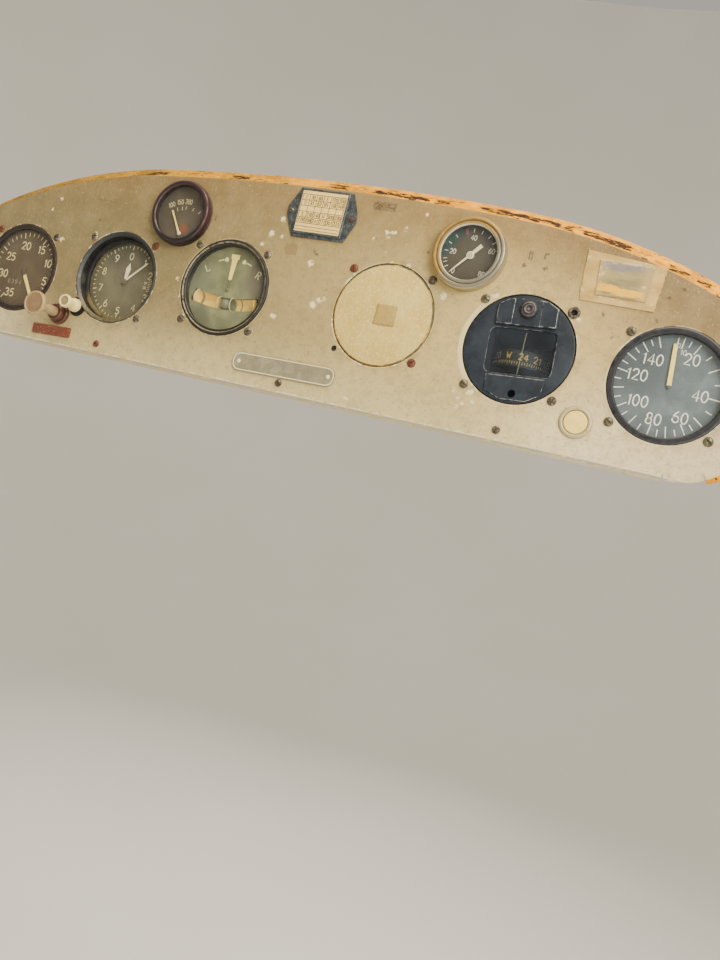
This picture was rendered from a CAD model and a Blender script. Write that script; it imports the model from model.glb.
# %% [markdown]
# # The instrument panel of a light aircraft
#
# The panel is one bent aluminium sheet that carries four large round instruments, a compass,
# two small gauges, two controls and some plates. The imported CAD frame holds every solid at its
# real place, so this lesson dresses it: each piece is modelled finer where the light finds its
# edges, and each surface gets a paint, metal or glass made of shader nodes. We load the frame
# first and note its box before anything is added.

import math

import bmesh
import bpy
from mathutils import Matrix, Vector, noise
from mathutils.geometry import tessellate_polygon


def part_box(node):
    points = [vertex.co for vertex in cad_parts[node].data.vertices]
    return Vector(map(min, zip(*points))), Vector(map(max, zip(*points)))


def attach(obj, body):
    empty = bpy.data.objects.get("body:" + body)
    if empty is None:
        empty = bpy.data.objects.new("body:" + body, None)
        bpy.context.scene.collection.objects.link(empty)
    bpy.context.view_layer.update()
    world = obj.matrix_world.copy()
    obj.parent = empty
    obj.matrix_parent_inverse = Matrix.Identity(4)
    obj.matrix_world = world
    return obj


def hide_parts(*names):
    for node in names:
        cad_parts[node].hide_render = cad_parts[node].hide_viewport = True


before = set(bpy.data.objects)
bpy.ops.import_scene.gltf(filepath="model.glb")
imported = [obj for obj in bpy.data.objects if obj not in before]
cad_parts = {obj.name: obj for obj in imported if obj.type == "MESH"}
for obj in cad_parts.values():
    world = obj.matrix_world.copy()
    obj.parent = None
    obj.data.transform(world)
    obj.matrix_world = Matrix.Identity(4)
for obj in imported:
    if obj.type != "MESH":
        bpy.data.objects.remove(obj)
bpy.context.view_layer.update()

# %% [markdown]
# Instrument makers think in millimetres and Blender in metres, so every shape is drawn in
# millimetres and scaled once, when its mesh is made. X runs to the right, Z up, and Y forward
# through the panel, so a smaller Y is nearer to the pilot. Centres and depths are read back
# from the frame, which keeps both models in step.

# %% Places that the frame gives
MM = 0.001


def reach(node):
    """The lowest and highest corner of a CAD node, in millimetres."""
    low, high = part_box(node)
    return low / MM, high / MM


def middle(node):
    """The x and z of the middle of a CAD node."""
    low, high = reach(node)
    return (low.x + high.x) / 2, (low.z + high.z) / 2


FACE = reach("panel_sheet")[0].y
SHEET = 1.6
BACK = FACE + SHEET
TACHOMETER = middle("tachometer_bezel")
ALTIMETER = middle("altimeter_bezel")
TURN = middle("turn_indicator_bezel")
BLANK = middle("blanking_disc")
COMPASS = middle("compass_case")
AIRSPEED = middle("airspeed_indicator_bezel")
OIL_TEMPERATURE = middle("oil_temperature_bezel")
OIL_PRESSURE = middle("oil_pressure_bezel")
SET_KNOB = middle("altimeter_set_knob")
HEAT = middle("heat_bushing")
PORT = middle("port_ring")
print("face at y", round(FACE, 2), "altimeter centre", [round(v, 1) for v in ALTIMETER])

# %% [markdown]
# A photograph of a flat panel fixes the camera well: the round holes tell where it stood and
# how it was turned. It was a little below the panel, on the right, and rolled by nearly
# fifteen degrees. Its turns are plain angles, multiplied as matrices in the order in which a
# person would make them.

# %% Camera
CAMERA_AT = (273.2, -548.8, -60.2)
CAMERA_TURN = {"left": 19.23, "up": 1.2, "roll": 14.57}
CAMERA_LENS = 29.25


def in_scene(name, data):
    """A new object in the scene that shows a mesh, a lamp or a camera."""
    made = bpy.data.objects.new(name, data)
    bpy.context.scene.collection.objects.link(made)
    return made


def add_camera():
    lens = bpy.data.cameras.new("camera")
    lens.lens = CAMERA_LENS
    camera = in_scene("camera", lens)
    turn = Matrix.Rotation(math.radians(CAMERA_TURN["left"]), 4, "Z")
    look = Matrix.Rotation(math.radians(90 + CAMERA_TURN["up"]), 4, "X")
    roll = Matrix.Rotation(math.radians(CAMERA_TURN["roll"]), 4, "Z")
    camera.matrix_world = Matrix.Translation(Vector(CAMERA_AT) * MM) @ turn @ look @ roll
    bpy.context.scene.camera = camera
    return camera


print("camera at", [round(v, 3) for v in add_camera().location])

# %% [markdown]
# Nearly every part here is turned, punched or bent, so a few shape makers are enough. Each
# returns points and faces. The Screw modifier could turn parts too, but with rings of points
# one loop makes a whole family. Real edges are never sharp: `softened` swaps each corner of an
# outline for a small arc, which is what catches the light.

# %% Lines, arcs and softened corners


def arc(x, z, radius, start, end, steps):
    """Points (x, z) along an arc, angles in degrees clockwise from straight up."""
    points = []
    for i in range(steps + 1):
        angle = math.radians(start + (end - start) * i / steps)
        points.append((x + radius * math.sin(angle), z + radius * math.cos(angle)))
    return points


def circle(x, z, radius, steps=64):
    return arc(x, z, radius, 0, 360, steps)[:-1]


def softened(line, steps=3, closed=False):
    """A line of (a, b) or (a, b, radius) points, with an arc at each corner with a radius."""
    soft = []
    for i, corner in enumerate(line):
        here = Vector(corner[:2])
        if len(corner) < 3 or (not closed and i in (0, len(line) - 1)):
            soft.append(tuple(here))
            continue
        back = Vector(line[i - 1][:2]) - here
        ahead = Vector(line[(i + 1) % len(line)][:2]) - here
        run = corner[2] / math.tan(back.angle(ahead) / 2)
        run = min(run, 0.48 * back.length, 0.48 * ahead.length)
        start = here + back.normalized() * run
        end = here + ahead.normalized() * run
        for step in range(steps + 1):
            t = step / steps
            soft.append(tuple(start * (1 - t) ** 2 + here * 2 * t * (1 - t) + end * t * t))
    return soft


def rounded_outline(corners, radius, steps=3):
    """A closed outline whose corners all have one radius."""
    return softened([(*corner, radius) for corner in corners], steps, closed=True)


def from_level(level, profile):
    """A profile whose depths are counted from a level of y."""
    return [(radius, level + depth, *soft) for radius, depth, *soft in profile]


# %% Rings, sheets, slabs and placed shapes
AXIS = 0.001


def loft(rings):
    """Joins closed rings that hold equally many points."""
    size = len(rings[0])
    points = [point for ring in rings for point in ring]
    faces = []
    for row in range(len(rings) - 1):
        for i in range(size):
            a, b = row * size + i, row * size + (i + 1) % size
            faces.append((a, b, b + size, a + size))
    return points, faces


def grid_faces(rows, size, first=0):
    """The quads between rows of points that follow each other in a list."""
    starts = [first + i * size + j for i in range(rows - 1) for j in range(size - 1)]
    return [(a, a + 1, a + 1 + size, a + size) for a in starts]


def thin_sheet(points, rows, size):
    """A closed sheet from the points of two skins, each a grid of rows."""
    layer = rows * size
    faces = grid_faces(rows, size) + grid_faces(rows, size, layer)
    border = [i * size for i in range(rows - 1)]
    border += [layer - size + j for j in range(size - 1)]
    border += [i * size + size - 1 for i in range(rows - 1, 0, -1)]
    border += range(size - 1, 0, -1)
    faces += [(a, b, b + layer, a + layer) for a, b in zip(border, border[1:] + border[:1])]
    return points, faces


def turned(profile, at=(0, 0), segments=72):
    """Turns a profile of (radius, y) points about the axis through (x, z)."""
    rings = []
    for radius, y in profile:
        loop = circle(at[0], at[1], radius, segments)
        rings.append([(x, y, z) for x, z in loop])
    return loft(rings)


def slab(outline, front, rear, holes=()):
    """A flat plate with holes, from (x, z) outlines, between two levels of y."""
    loops = [outline, *holes]
    flat = [point for loop in loops for point in loop]
    count = len(flat)
    points = [(x, front, z) for x, z in flat] + [(x, rear, z) for x, z in flat]
    if holes:
        fill = tessellate_polygon([[Vector((x, z, 0)) for x, z in loop] for loop in loops])
    else:
        fill = [range(count)]
    faces = [tuple(corners) for corners in fill]
    faces += [tuple(corner + count for corner in corners) for corners in fill]
    first = 0
    for loop in loops:
        for i in range(len(loop)):
            a, b = first + i, first + (i + 1) % len(loop)
            faces.append((a, b, b + count, a + count))
        first += len(loop)
    return points, faces


def placed(shape, at, turn=0.0, y=0.0):
    """Turns a shape clockwise as the pilot sees it, in degrees, and then moves it."""
    points, faces = shape
    spin = Matrix.Rotation(math.radians(turn), 3, "Y")
    shift = Vector((at[0], y, at[1]))
    return [tuple(spin @ Vector(point) + shift) for point in points], faces


# %% [markdown]
# A piece is one mesh object. Points that meet are welded, so that shapes drawn side by side
# become one skin, and the normals are made to point outward. Shading is smooth, with crisp
# edges where faces meet at more than a chosen angle. The piece rides on a body of the frame,
# so that it moves when the joint does, and it may stand in for CAD nodes that it replaces.

# %% One piece from several shapes
WELD = 0.0005
CREASE = 34


def rounded(held, width, crease):
    """Rounds the edges of a piece that are sharper than `crease` degrees."""
    rounding = held.modifiers.new("rounded_edges", "BEVEL")
    rounding.width = width * MM
    rounding.segments = 2
    rounding.angle_limit = math.radians(crease)
    return rounding


def piece(name, parts, body="panel", stands_for=(), crease=CREASE, edge=0.0):
    """One mesh from (material, shape) pairs. `edge` rounds its sharp edges by so many mm."""
    materials = list(dict.fromkeys(material for material, _ in parts))
    built = bmesh.new()
    for material, (points, faces) in parts:
        corners = [built.verts.new(Vector(point) * MM) for point in points]
        for face in faces:
            loop = list(dict.fromkeys(corners[i] for i in face))
            if len(loop) > 2:
                built.faces.new(loop).material_index = materials.index(material)
    bmesh.ops.remove_doubles(built, verts=built.verts, dist=WELD * MM)
    bmesh.ops.dissolve_degenerate(built, edges=built.edges, dist=WELD * MM)
    bmesh.ops.recalc_face_normals(built, faces=built.faces)
    mesh = bpy.data.meshes.new(name)
    built.to_mesh(mesh)
    built.free()
    for material in materials:
        mesh.materials.append(material)
    mesh.shade_smooth()
    if not edge:
        mesh.set_sharp_from_angle(angle=math.radians(crease))
    made = in_scene(name, mesh)
    if edge:
        rounded(made, edge, crease).harden_normals = True
    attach(made, body)
    if stands_for:
        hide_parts(*stands_for)
    return made


def carve(target, cutters):
    """Cuts closed pieces out of another and keeps the result as its mesh."""
    for cutter in cutters:
        cut = target.modifiers.new("cut", "BOOLEAN")
        cut.operation, cut.object = "DIFFERENCE", cutter
    bpy.context.view_layer.update()
    graph = bpy.context.evaluated_depsgraph_get()
    mesh = bpy.data.meshes.new_from_object(target.evaluated_get(graph))
    target.modifiers.clear()
    target.data = mesh
    mesh.shade_smooth()
    mesh.set_sharp_from_angle(angle=math.radians(CREASE))
    for cutter in cutters:
        bpy.data.objects.remove(cutter)
    return target


# %% [markdown]
# Materials follow one plan. A Principled shader gives the surface its physics, and noise at
# the real size of the marks drives colour, roughness and bump. The class below only shortens
# the writing of nodes: `mottle` is cloudy noise of a size in millimetres, `step` turns it into
# patches with soft borders, and `coat` lays a colour over the layers so far. All of it reads
# the point's own place on the object, so the marks stay where they are when a hand turns.

# %% A short way to write materials


def paint(code):
    """A colour from a web code such as "c8b98a", made linear as shaders need it."""
    channels = []
    for i in (0, 2, 4):
        value = int(code[i:i + 2], 16) / 255
        linear = value / 12.92 if value < 0.04045 else ((value + 0.055) / 1.055) ** 2.4
        channels.append(linear)
    return (*channels, 1)


class Finish:
    """A material with a Principled shader and short calls that feed it."""

    def __init__(self, name, roughness=0.5, gloss=0.5, **sockets):
        self.material = bpy.data.materials.new(name)
        self.material.use_nodes = True
        self.tree = self.material.node_tree
        self.shader = self.tree.nodes["Principled BSDF"]
        self.colour = None
        sockets = {"Roughness": roughness, "Specular_IOR_Level": gloss, **sockets}
        for socket, value in sockets.items():
            self.shader.inputs[socket.replace("_", " ")].default_value = value

    def feed(self, socket, value):
        """Gives a socket a link, a number or the web code of a colour."""
        if isinstance(value, bpy.types.NodeSocket):
            self.tree.links.new(value, socket)
        else:
            socket.default_value = paint(value) if isinstance(value, str) else value

    def node(self, kind, sockets, **options):
        made = self.tree.nodes.new(kind)
        for option, value in options.items():
            setattr(made, option, value)
        for socket, value in sockets.items():
            self.feed(made.inputs[socket], value)
        return made

    def place(self, stretch=(1, 1, 1), shift=(0, 0, 0)):
        """Where a point is in millimetres, with its axes stretched and then shifted."""
        here = self.node("ShaderNodeTexCoord", {}).outputs["Object"]
        scale = Vector(stretch) / MM
        moved = self.node("ShaderNodeVectorMath", {0: here, 1: scale, 2: shift},
            operation="MULTIPLY_ADD")
        return moved.outputs[0]

    def along(self, axis):
        """One coordinate of the point, in millimetres."""
        return self.node("ShaderNodeSeparateXYZ", {0: self.place()}).outputs[axis]

    def mottle(self, size, detail, rough=0.6, stretch=(1, 1, 1), shift=(0, 0, 0)):
        sockets = {"Vector": self.place(stretch, shift), "Scale": 1 / size, "Detail": detail,
            "Roughness": rough}
        return self.node("ShaderNodeTexNoise", sockets).outputs["Fac"]

    def patches(self, low, high, *noise, **more):
        """0 to 1 as the noise climbs from a low level to a high one: `mottle`, then `step`."""
        return self.step(self.mottle(*noise, **more), low, high)

    def off_crack(self, size):
        """How far a point is from the nearest border between cells of this size."""
        sockets = {"Vector": self.place(), "Scale": 1 / size}
        cells = self.node("ShaderNodeTexVoronoi", sockets, feature="DISTANCE_TO_EDGE")
        return cells.outputs["Distance"]

    def step(self, value, low, high, start=0.0, end=1.0):
        sockets = {"Value": value, "From Min": low, "From Max": high, "To Min": start,
            "To Max": end}
        made = self.node("ShaderNodeMapRange", sockets, interpolation_type="SMOOTHSTEP")
        return made.outputs["Result"]

    def maths(self, operation, first, second=0.0):
        sockets = {0: first, 1: second}
        return self.node("ShaderNodeMath", sockets, operation=operation).outputs[0]

    def plus(self, first, second):
        return self.maths("ADD", first, second)

    def minus(self, first, second):
        return self.maths("SUBTRACT", first, second)

    def off(self, value, centre):
        """How far a value is from another, on either side."""
        return self.maths("ABSOLUTE", self.minus(value, centre))

    def both(self, first, second):
        return self.maths("MULTIPLY", first, second)

    def either(self, first, second):
        return self.maths("MAXIMUM", first, second)

    def most(self, values):
        """The greatest of several values at each point."""
        greatest, *others = values
        for value in others:
            greatest = self.either(greatest, value)
        return greatest

    def blend(self, amount, under, over):
        sockets = {0: amount, 6: under, 7: over}
        return self.node("ShaderNodeMix", sockets, data_type="RGBA").outputs[2]

    def ground(self, amount, first, second):
        """The lowest layer of colour, which drifts from one to another."""
        self.colour = self.blend(amount, first, second)

    def coat(self, amount, colour):
        """Lays a colour over the layers so far."""
        self.colour = self.blend(amount, self.colour, colour)

    def circles(self, rings):
        """How far a point is outside the nearest of some (x, z, radius) circles."""
        flat = self.place((1, 0, 1))
        nearest = None
        for x, z, radius in rings:
            away = self.node("ShaderNodeVectorMath", {0: flat, 1: (x, 0, z)},
                operation="DISTANCE").outputs["Value"]
            gap = self.minus(away, radius)
            nearest = gap if nearest is None else self.maths("MINIMUM", nearest, gap)
        return nearest

    def off_ring(self, at, radius):
        """How far a point is from one circle, inside it or outside it."""
        return self.maths("ABSOLUTE", self.circles([(*at, radius)]))

    def near(self, value, centre, half, soft):
        """1 where a value is within `half` of a centre, fading over `soft`."""
        return self.step(self.off(value, centre), half, half + soft, 1, 0)

    def spots(self, rings, ragged, size):
        """1 inside ragged spots about some (x, z, radius) circles."""
        bite = self.step(self.mottle(size, 3, 0.7), 0.3, 0.7, -ragged, ragged)
        return self.step(self.plus(self.circles(rings), bite), 0, 0.35, 1, 0)

    def boxed(self, x, z, half_wide, half_high, ragged=0.0, soft=0.4):
        """1 inside an upright rectangle and 0 outside it, with a ragged border if asked."""
        across, up = self.off(self.along("X"), x), self.off(self.along("Z"), z)
        outside = self.either(self.minus(across, half_wide), self.minus(up, half_high))
        if ragged:
            bite = self.step(self.mottle(3, 3), 0.3, 0.7, -ragged, ragged)
            outside = self.plus(outside, bite)
        return self.step(outside, 0, soft, 1, 0)

    def dents(self, height, depth):
        """Bump from a height of 0 to 1 that stands for so many millimetres."""
        bump = self.node("ShaderNodeBump", {"Height": height, "Distance": depth * MM})
        self.feed(self.shader.inputs["Normal"], bump.outputs["Normal"])

    def done(self, roughness=None, metallic=None):
        """Feeds the layers to the shader, and its roughness and metal where given."""
        for socket, value in (("Base Color", self.colour), ("Roughness", roughness),
                ("Metallic", metallic)):
            if value is not None:
                self.feed(self.shader.inputs[socket], value)
        return self.material


# %% [markdown]
# ## The sheet and its paint
#
# The face wears an old khaki lacquer, lighter toward the lower right and browner along the
# top. It has gone blotchy, and white primer shows where it has chipped: along the bottom edge,
# round the big holes, where bezels were pulled in and out, and round the screws. Noise with a
# threshold that drops near edges makes the small chips, `circles` measures the distance to
# each hole and screw, and short tables place the largest chips.

# %% Khaki lacquer of the face
LARGE_HOLE = 39.7
SMALL_HOLE = 26.2
LARGE_CENTRES = [TACHOMETER, ALTIMETER, TURN, BLANK, COMPASS, AIRSPEED]
HOLE_RINGS = [(*centre, LARGE_HOLE) for centre in LARGE_CENTRES]
SCREW_SPOT = 31.43
SCREW_HALOS = [(x + side * SCREW_SPOT, z + up * SCREW_SPOT, 4.2)
    for x, z in LARGE_CENTRES for side in (-1, 1) for up in (-1, 1)]
WHITE_CHIPS = [(-31.7, 136.4, 1.6), (-39.3, 123.7, 1.9), (-44.8, 114.2, 1.3), (-29.6, 122.5, 0.9),
    (0.6, 104.9, 2), (11.5, 73.3, 2.2), (15.4, 78, 1.5), (19.6, 79.4, 0.9),
    (-19.2, 59.2, 1.6), (56.3, 137.5, 1.3), (56.6, 134, 1.1), (61.4, 137.8, 1.1),
    (69.8, 142.1, 1.4), (46.3, 130.8, 0.8), (110.9, 96.4, 1.9), (83.4, 154.7, 1.2),
    (79.6, 114.6, 0.9), (39.1, 101.5, 0.9), (-250.5, 128.1, 0.9), (-257.2, 117.1, 0.8),
    (-113.2, 75.8, 1), (-106.7, 62.1, 1), (-238.8, 92.5, 1.3), (-204.4, 102, 1.4),
    (-143.1, 37.1, 1.1), (-98.5, 47.2, 0.9), (148.8, 102.2, 1.9), (208.9, 95.2, 1.3),
    (139.9, 25.4, 0.7), (144.6, 22.4, 0.6), (140.1, 19.2, 0.8), (150.9, 25.3, 0.9),
    (147.7, 31.4, 1.8), (135.4, 30.7, 0.9), (57.2, 8.5, 0.9), (32.9, 4.2, 0.7)]
DARK_MARKS = [(1.5, 114.7, 0.9), (3.8, 112.8, 0.8), (91.4, 126.9, 0.7), (-204.3, 114.3, 1),
    (163, 127.2, 1.3), (177.8, 126.6, 1.5), (223.8, 101.7, 1.1), (249.1, 119.7, 0.9),
    (271, 126.3, 1), (262.5, 119, 1), (258.6, 102.2, 0.9), (233, 86.6, 0.8)]
PENCIL_STROKES = [(165, 134.6, 0.45, 3), (166.9, 134.4, 0.4, 2.8), (175.8, 135.3, 0.45, 1.9),
    (177, 137.4, 1.4, 0.45), (-202, 131.8, 9, 0.2), (-92.6, 129, 0.25, 2.8)]


def khaki_ground(f, blotch, grain):
    """The lacquer's own colour across the face, before chips and marks."""
    along_x, along_z = f.along("X"), f.along("Z")
    bleached = f.both(f.step(along_x, -185, 285), f.step(along_z, 90, 160, 1, 0.5))
    f.ground(bleached, "766b49", "e8cd86")
    f.coat(f.step(along_z, -5, 60, 0.75, 0), "e6d6a0")
    f.coat(f.step(along_z, 108, 160, 0, 0.56), "846230")
    upper_right = f.plus(along_x, f.both(along_z, 0.8))
    f.coat(f.step(upper_right, 225, 385, 0, 0.88), "664b2d")
    ends = f.either(f.step(along_x, 120, 270, 0, 0.6), f.step(along_x, -290, -225, 0.45, 0))
    f.coat(f.both(ends, f.step(along_z, 25, 75, 1, 0)), "fff0cc")
    f.coat(f.step(f.mottle(90, 3), 0.3, 0.7, 0, 0.28), "938059")
    f.coat(f.both(blotch, 0.22), "b8a67a")
    patch = f.mottle(5.5, 4, 0.65, shift=(31, 0, 11))
    f.coat(f.step(patch, 0.42, 0.7, 0, 0.26), "776746")
    speck = f.mottle(1.8, 3, shift=(5, 0, 3))
    f.coat(f.step(speck, 0.58, 0.7, 0, 0.4), "665a42")
    pale = f.mottle(1.4, 4, 0.7, (1, 1, 0.7), (8, 0, 2))
    f.coat(f.step(pale, 0.56, 0.7, 0, 0.3), "d8c896")
    f.coat(f.step(grain, 0.3, 0.75, 0, 0.16), "6d5f42")


def khaki_chips(f, blotch, near_hole):
    """Where white primer shows: by edges, holes and screws, and at the chips set by hand."""
    fleck = f.mottle(5.5, 6, 0.72, (1, 1, 0.8))
    by_hole = f.step(near_hole, 0.2, 1.9, 0.14, 0)
    by_bottom = f.both(f.near(f.along("Z"), 1.4, 0.5, 1.7), 0.26)
    level = f.plus(fleck, f.plus(by_hole, by_bottom))
    scattered = f.step(level, 0.69, 0.71)
    fine = f.both(f.patches(0.7, 0.73, 2.1, 4, 0.7, (1, 1, 0.8), (0, 0, 40)),
        f.patches(0.5, 0.62, 40, 2))
    worn_hole = f.both(f.step(near_hole, 0.35, 1, 0.85, 0),
        f.patches(0.46, 0.54, 17, 2, 0.5, shift=(0, 0, 60)))
    off_screw = f.maths("ABSOLUTE", f.circles(SCREW_HALOS))
    halo = f.both(f.step(off_screw, 0.1, 0.7, 0.6, 0),
        f.patches(0.5, 0.6, 3.2, 3, shift=(9, 0, 9)))
    scratch = f.mottle(1.6, 2, 0.5, (1, 1, 0.08), (0, 0, 7))
    scratched = f.both(f.step(scratch, 0.735, 0.75), f.step(blotch, 0.3, 0.8, 0.2, 1))
    deep = f.either(scattered, f.spots(WHITE_CHIPS, 1.4, 1.8))
    light = f.either(f.either(worn_hole, halo), f.either(fine, scratched))
    return deep, light


def khaki_lacquer():
    f = Finish("khaki_lacquer", gloss=0.4)
    blotch = f.patches(0.35, 0.7, 14, 5, 0.7)
    grain = f.mottle(0.9, 3)
    near_hole = f.circles(HOLE_RINGS)
    khaki_ground(f, blotch, grain)
    grime = f.both(f.step(near_hole, 0.5, 9, 1, 0), f.patches(0.42, 0.7, 11, 4))
    f.coat(f.both(grime, 0.42), "7d6c4c")
    streak = f.mottle(2.2, 4, 0.6, (0.35, 1, 1), (50, 0, 20))
    f.coat(f.step(streak, 0.66, 0.72, 0, 0.5), "6f6046")

    deep, light = khaki_chips(f, blotch, near_hole)
    f.coat(f.both(light, 0.7), "d8c99a")
    f.coat(deep, "e8dcb4")
    swept = f.both(f.step(f.circles([(*COMPASS, LARGE_HOLE)]), 2.6, 4, 0.85, 0),
        f.step(f.along("X"), COMPASS[0] - 36, COMPASS[0] - 22, 1, 0))
    f.coat(swept, "e0cf9e")
    bare = f.both(f.step(f.along("Z"), 0.8, 2.4, 1, 0), deep)
    f.coat(bare, "b5b2aa")

    glue = f.boxed(49, 156.7, 9.3, 2.9, 0.7)
    residue = f.both(glue, f.step(f.mottle(1.7, 4, 0.7), 0.42, 0.55, 0.25, 1))
    f.coat(f.both(residue, 0.85), "4e4534")
    stain = f.boxed(-19, 114, 4.6, 3.9, 1.2, 0.8)
    f.coat(f.both(stain, 0.6), "846a42")
    pencil = (f.boxed(*mark, 0.3, 0.25) for mark in PENCIL_STROKES)
    marks = f.most([f.spots(DARK_MARKS, 1, 1.4), *pencil])
    f.coat(f.both(marks, 0.7), "4a3f2e")

    height = f.minus(f.both(grain, 0.12), f.both(deep, 0.5))
    f.dents(height, 0.12)
    roughness = f.step(blotch, 0, 1, 0.46, 0.62)
    return f.done(roughness, f.both(bare, 0.9))


KHAKI_LACQUER = khaki_lacquer()
print("khaki lacquer nodes:", len(KHAKI_LACQUER.node_tree.nodes))

# %% [markdown]
# The bent edge was brushed over with a warm golden paint, thick enough to leave lumps. Its
# chips go through to old brown varnish. They are long, so their noise is stretched along X,
# and a table says where they gather. The back of the sheet was never meant to be seen: it has
# a thin grey-green primer with a film of dust.

# %% Brushed cream edge and rear primer
LONG_CHIPS = [(-160, 9), (-81, 7), (6, 6), (42, 6), (64, 18), (92, 6), (132, 10), (166, 23),
    (215, 17), (264, 7), (282, 5), (304, 4)]


def brushed_cream():
    f = Finish("brushed_cream", gloss=0.1)
    along_x = f.along("X")
    lumps = f.mottle(2.6, 5, 0.65)
    patch = f.mottle(22, 3)
    fleck = f.mottle(3.6, 7, 0.72, (0.35, 1.3, 1.3))
    half_way = f.near(f.along("Y"), FACE + 3.4, 1.2, 2.4)
    where = f.most(f.near(along_x, x, half - 2, 5) for x, half in LONG_CHIPS)
    gather = f.both(where, f.plus(-0.01, f.both(half_way, 0.15)))
    worn = f.plus(fleck, gather)
    chipped = f.step(worn, 0.6, 0.615)
    rim = f.step(worn, 0.56, 0.6)
    rightward = f.step(along_x, -240, 110)
    golden = f.blend(rightward, "80601a", "c48412")
    bright = f.blend(rightward, "a87e20", "f8a612")
    f.ground(f.step(patch, 0.38, 0.62), golden, bright)
    f.coat(f.step(lumps, 0.5, 0.7, 0, 0.65), "fac63a")
    f.coat(f.both(rim, 0.5), "8c6226")
    f.coat(chipped, "38251a")
    f.dents(f.minus(f.both(lumps, 0.8), chipped), 0.35)
    return f.done(f.step(lumps, 0.3, 0.7, 0.62, 0.4))


def rear_primer():
    f = Finish("rear_primer", roughness=0.7)
    cloud = f.patches(0.3, 0.7, 60, 4)
    dust = f.patches(0.45, 0.75, 9, 5, 0.7)
    run = f.patches(0.5, 0.75, 7, 4, 0.6, (1, 1, 0.12))
    f.ground(cloud, "7c8068", "8b8d74")
    f.coat(f.both(dust, 0.5), "aaa58f")
    f.coat(f.both(run, 0.45), "5f604d")
    f.dents(dust, 0.06)
    return f.done(f.step(dust, 0, 1, 0.62, 0.85))


BRUSHED_CREAM = brushed_cream()
REAR_PRIMER = rear_primer()

# %% [markdown]
# The sheet is drawn as a sheet-metal worker would lay it out. Two flat skins share one outline
# with the holes cut in it, and a small section is swept round that outline: over the top and
# ends it bends outward and forward into a lip, round the lower corners it runs out to a raw
# edge, and below it folds into the screwed flange. A Solidify modifier could give the
# thickness, but not the bend radii, which make bent metal look bent.

# %% The outline of the sheet and its bent section
TOP = 165.5
CORNER = 42
EDGE_ARCS = [(2000, 4.3, 12), (440, 27, 24), (29, 90, 18)]
BEVEL = 10.5
LIP = 9
BEVEL_END = {"angle": 150, "share": 0.2}
FLANGE_HALF = 285
FLANGE_DEPTH = 16
INSET = 3.5
SLIT = 1


def follow_arc(line, radius, end, steps):
    """Adds to (x, z, angle) points an arc that leaves the last one without a kink."""
    x, z, start = line[-1]
    centre_x = x - radius * math.sin(math.radians(start))
    centre_z = z - radius * math.cos(math.radians(start))
    angles = [start + (end - start) * i / steps for i in range(1, steps + 1)]
    for angle, (px, pz) in zip(angles, arc(centre_x, centre_z, radius, start, end, steps)[1:]):
        line.append((px, pz, angle))


def bent_section(angle):
    """The bevel and lip as (outward, y) points, smaller round the lower corners."""
    beyond = max(0, abs(angle) - 90) / (BEVEL_END["angle"] - 90)
    share = 1 - (1 - BEVEL_END["share"]) * beyond
    out, deep, fold = BEVEL * share, LIP * share, 0.41 * SHEET
    return softened([
        (-INSET, FACE),
        (0, FACE, 2.2 * share),
        (out, FACE + out, 2.6 * share),
        (out, FACE + out + deep, 0.3),
        (out - SHEET, FACE + out + deep, 0.3),
        (out - SHEET, FACE + out + fold, 1 * share),
        (-fold, BACK, 0.6 * share),
        (-INSET, BACK),
    ])


RAW_SECTION = softened([(-INSET, FACE), (0, FACE, 0.3), (0, BACK, 0.3), (-INSET, BACK)], 2)
FLANGE_SECTION = softened([(-INSET, FACE), (0, FACE, 2.4), (0, FACE + FLANGE_DEPTH, 0.4),
    (-SHEET, FACE + FLANGE_DEPTH, 0.4), (-SHEET, BACK, 0.8), (-INSET, BACK)])


def edge_runs():
    """The stretches of the outline, clockwise, each with its own section."""
    half = [(0, TOP, 0)]
    for radius, end, steps in EDGE_ARCS:
        follow_arc(half, radius, end, steps)
    half.append((half[-1][0], CORNER, 90))
    follow_arc(half, CORNER, BEVEL_END["angle"], 16)
    bevelled = [(-x, z, -angle) for x, z, angle in reversed(half[1:])] + half
    corner = [half[-1]]
    follow_arc(corner, CORNER, BEVEL_END["angle"] + SLIT, 1)
    corner = corner[1:]
    follow_arc(corner, CORNER, 180, 10)
    corner.append((FLANGE_HALF + SLIT, 0, 180))
    lower = [(FLANGE_HALF - FLANGE_HALF * i / 12, 0, 180) for i in range(25)]
    left = [(-x, z, -angle) for x, z, angle in reversed(corner)]
    return [(bevelled, bent_section), (corner, RAW_SECTION), (lower, FLANGE_SECTION),
        (left, RAW_SECTION)]


# %% Sweep the edge and fill the skins


def swept(run, section):
    """Faces between the sections along a run, from the front skin round to the back one."""
    rows = []
    for x, z, angle in run:
        side, up = math.sin(math.radians(angle)), math.cos(math.radians(angle))
        profile = section(angle) if callable(section) else section
        rows.append([(x + out * side, y, z + out * up) for out, y in profile])
    size = len(rows[0])
    points = [point for row in rows for point in row]
    strips = [(number % (size - 1), face)
        for number, face in enumerate(grid_faces(len(rows), size))]
    caps = [tuple(range(size)), tuple(range(len(points) - size, len(points)))]
    return rows, points, strips, caps


def crossing(at, radius, other, small):
    """The heading of a second circle, and half the angle that each loses to the other."""
    gap = math.dist(at, other)
    toward = math.degrees(math.atan2(other[0] - at[0], other[1] - at[1]))
    halves = [math.degrees(math.acos((gap ** 2 + own ** 2 - far ** 2) / (2 * gap * own)))
        for own, far in ((radius, small), (small, radius))]
    return toward, *halves


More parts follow.
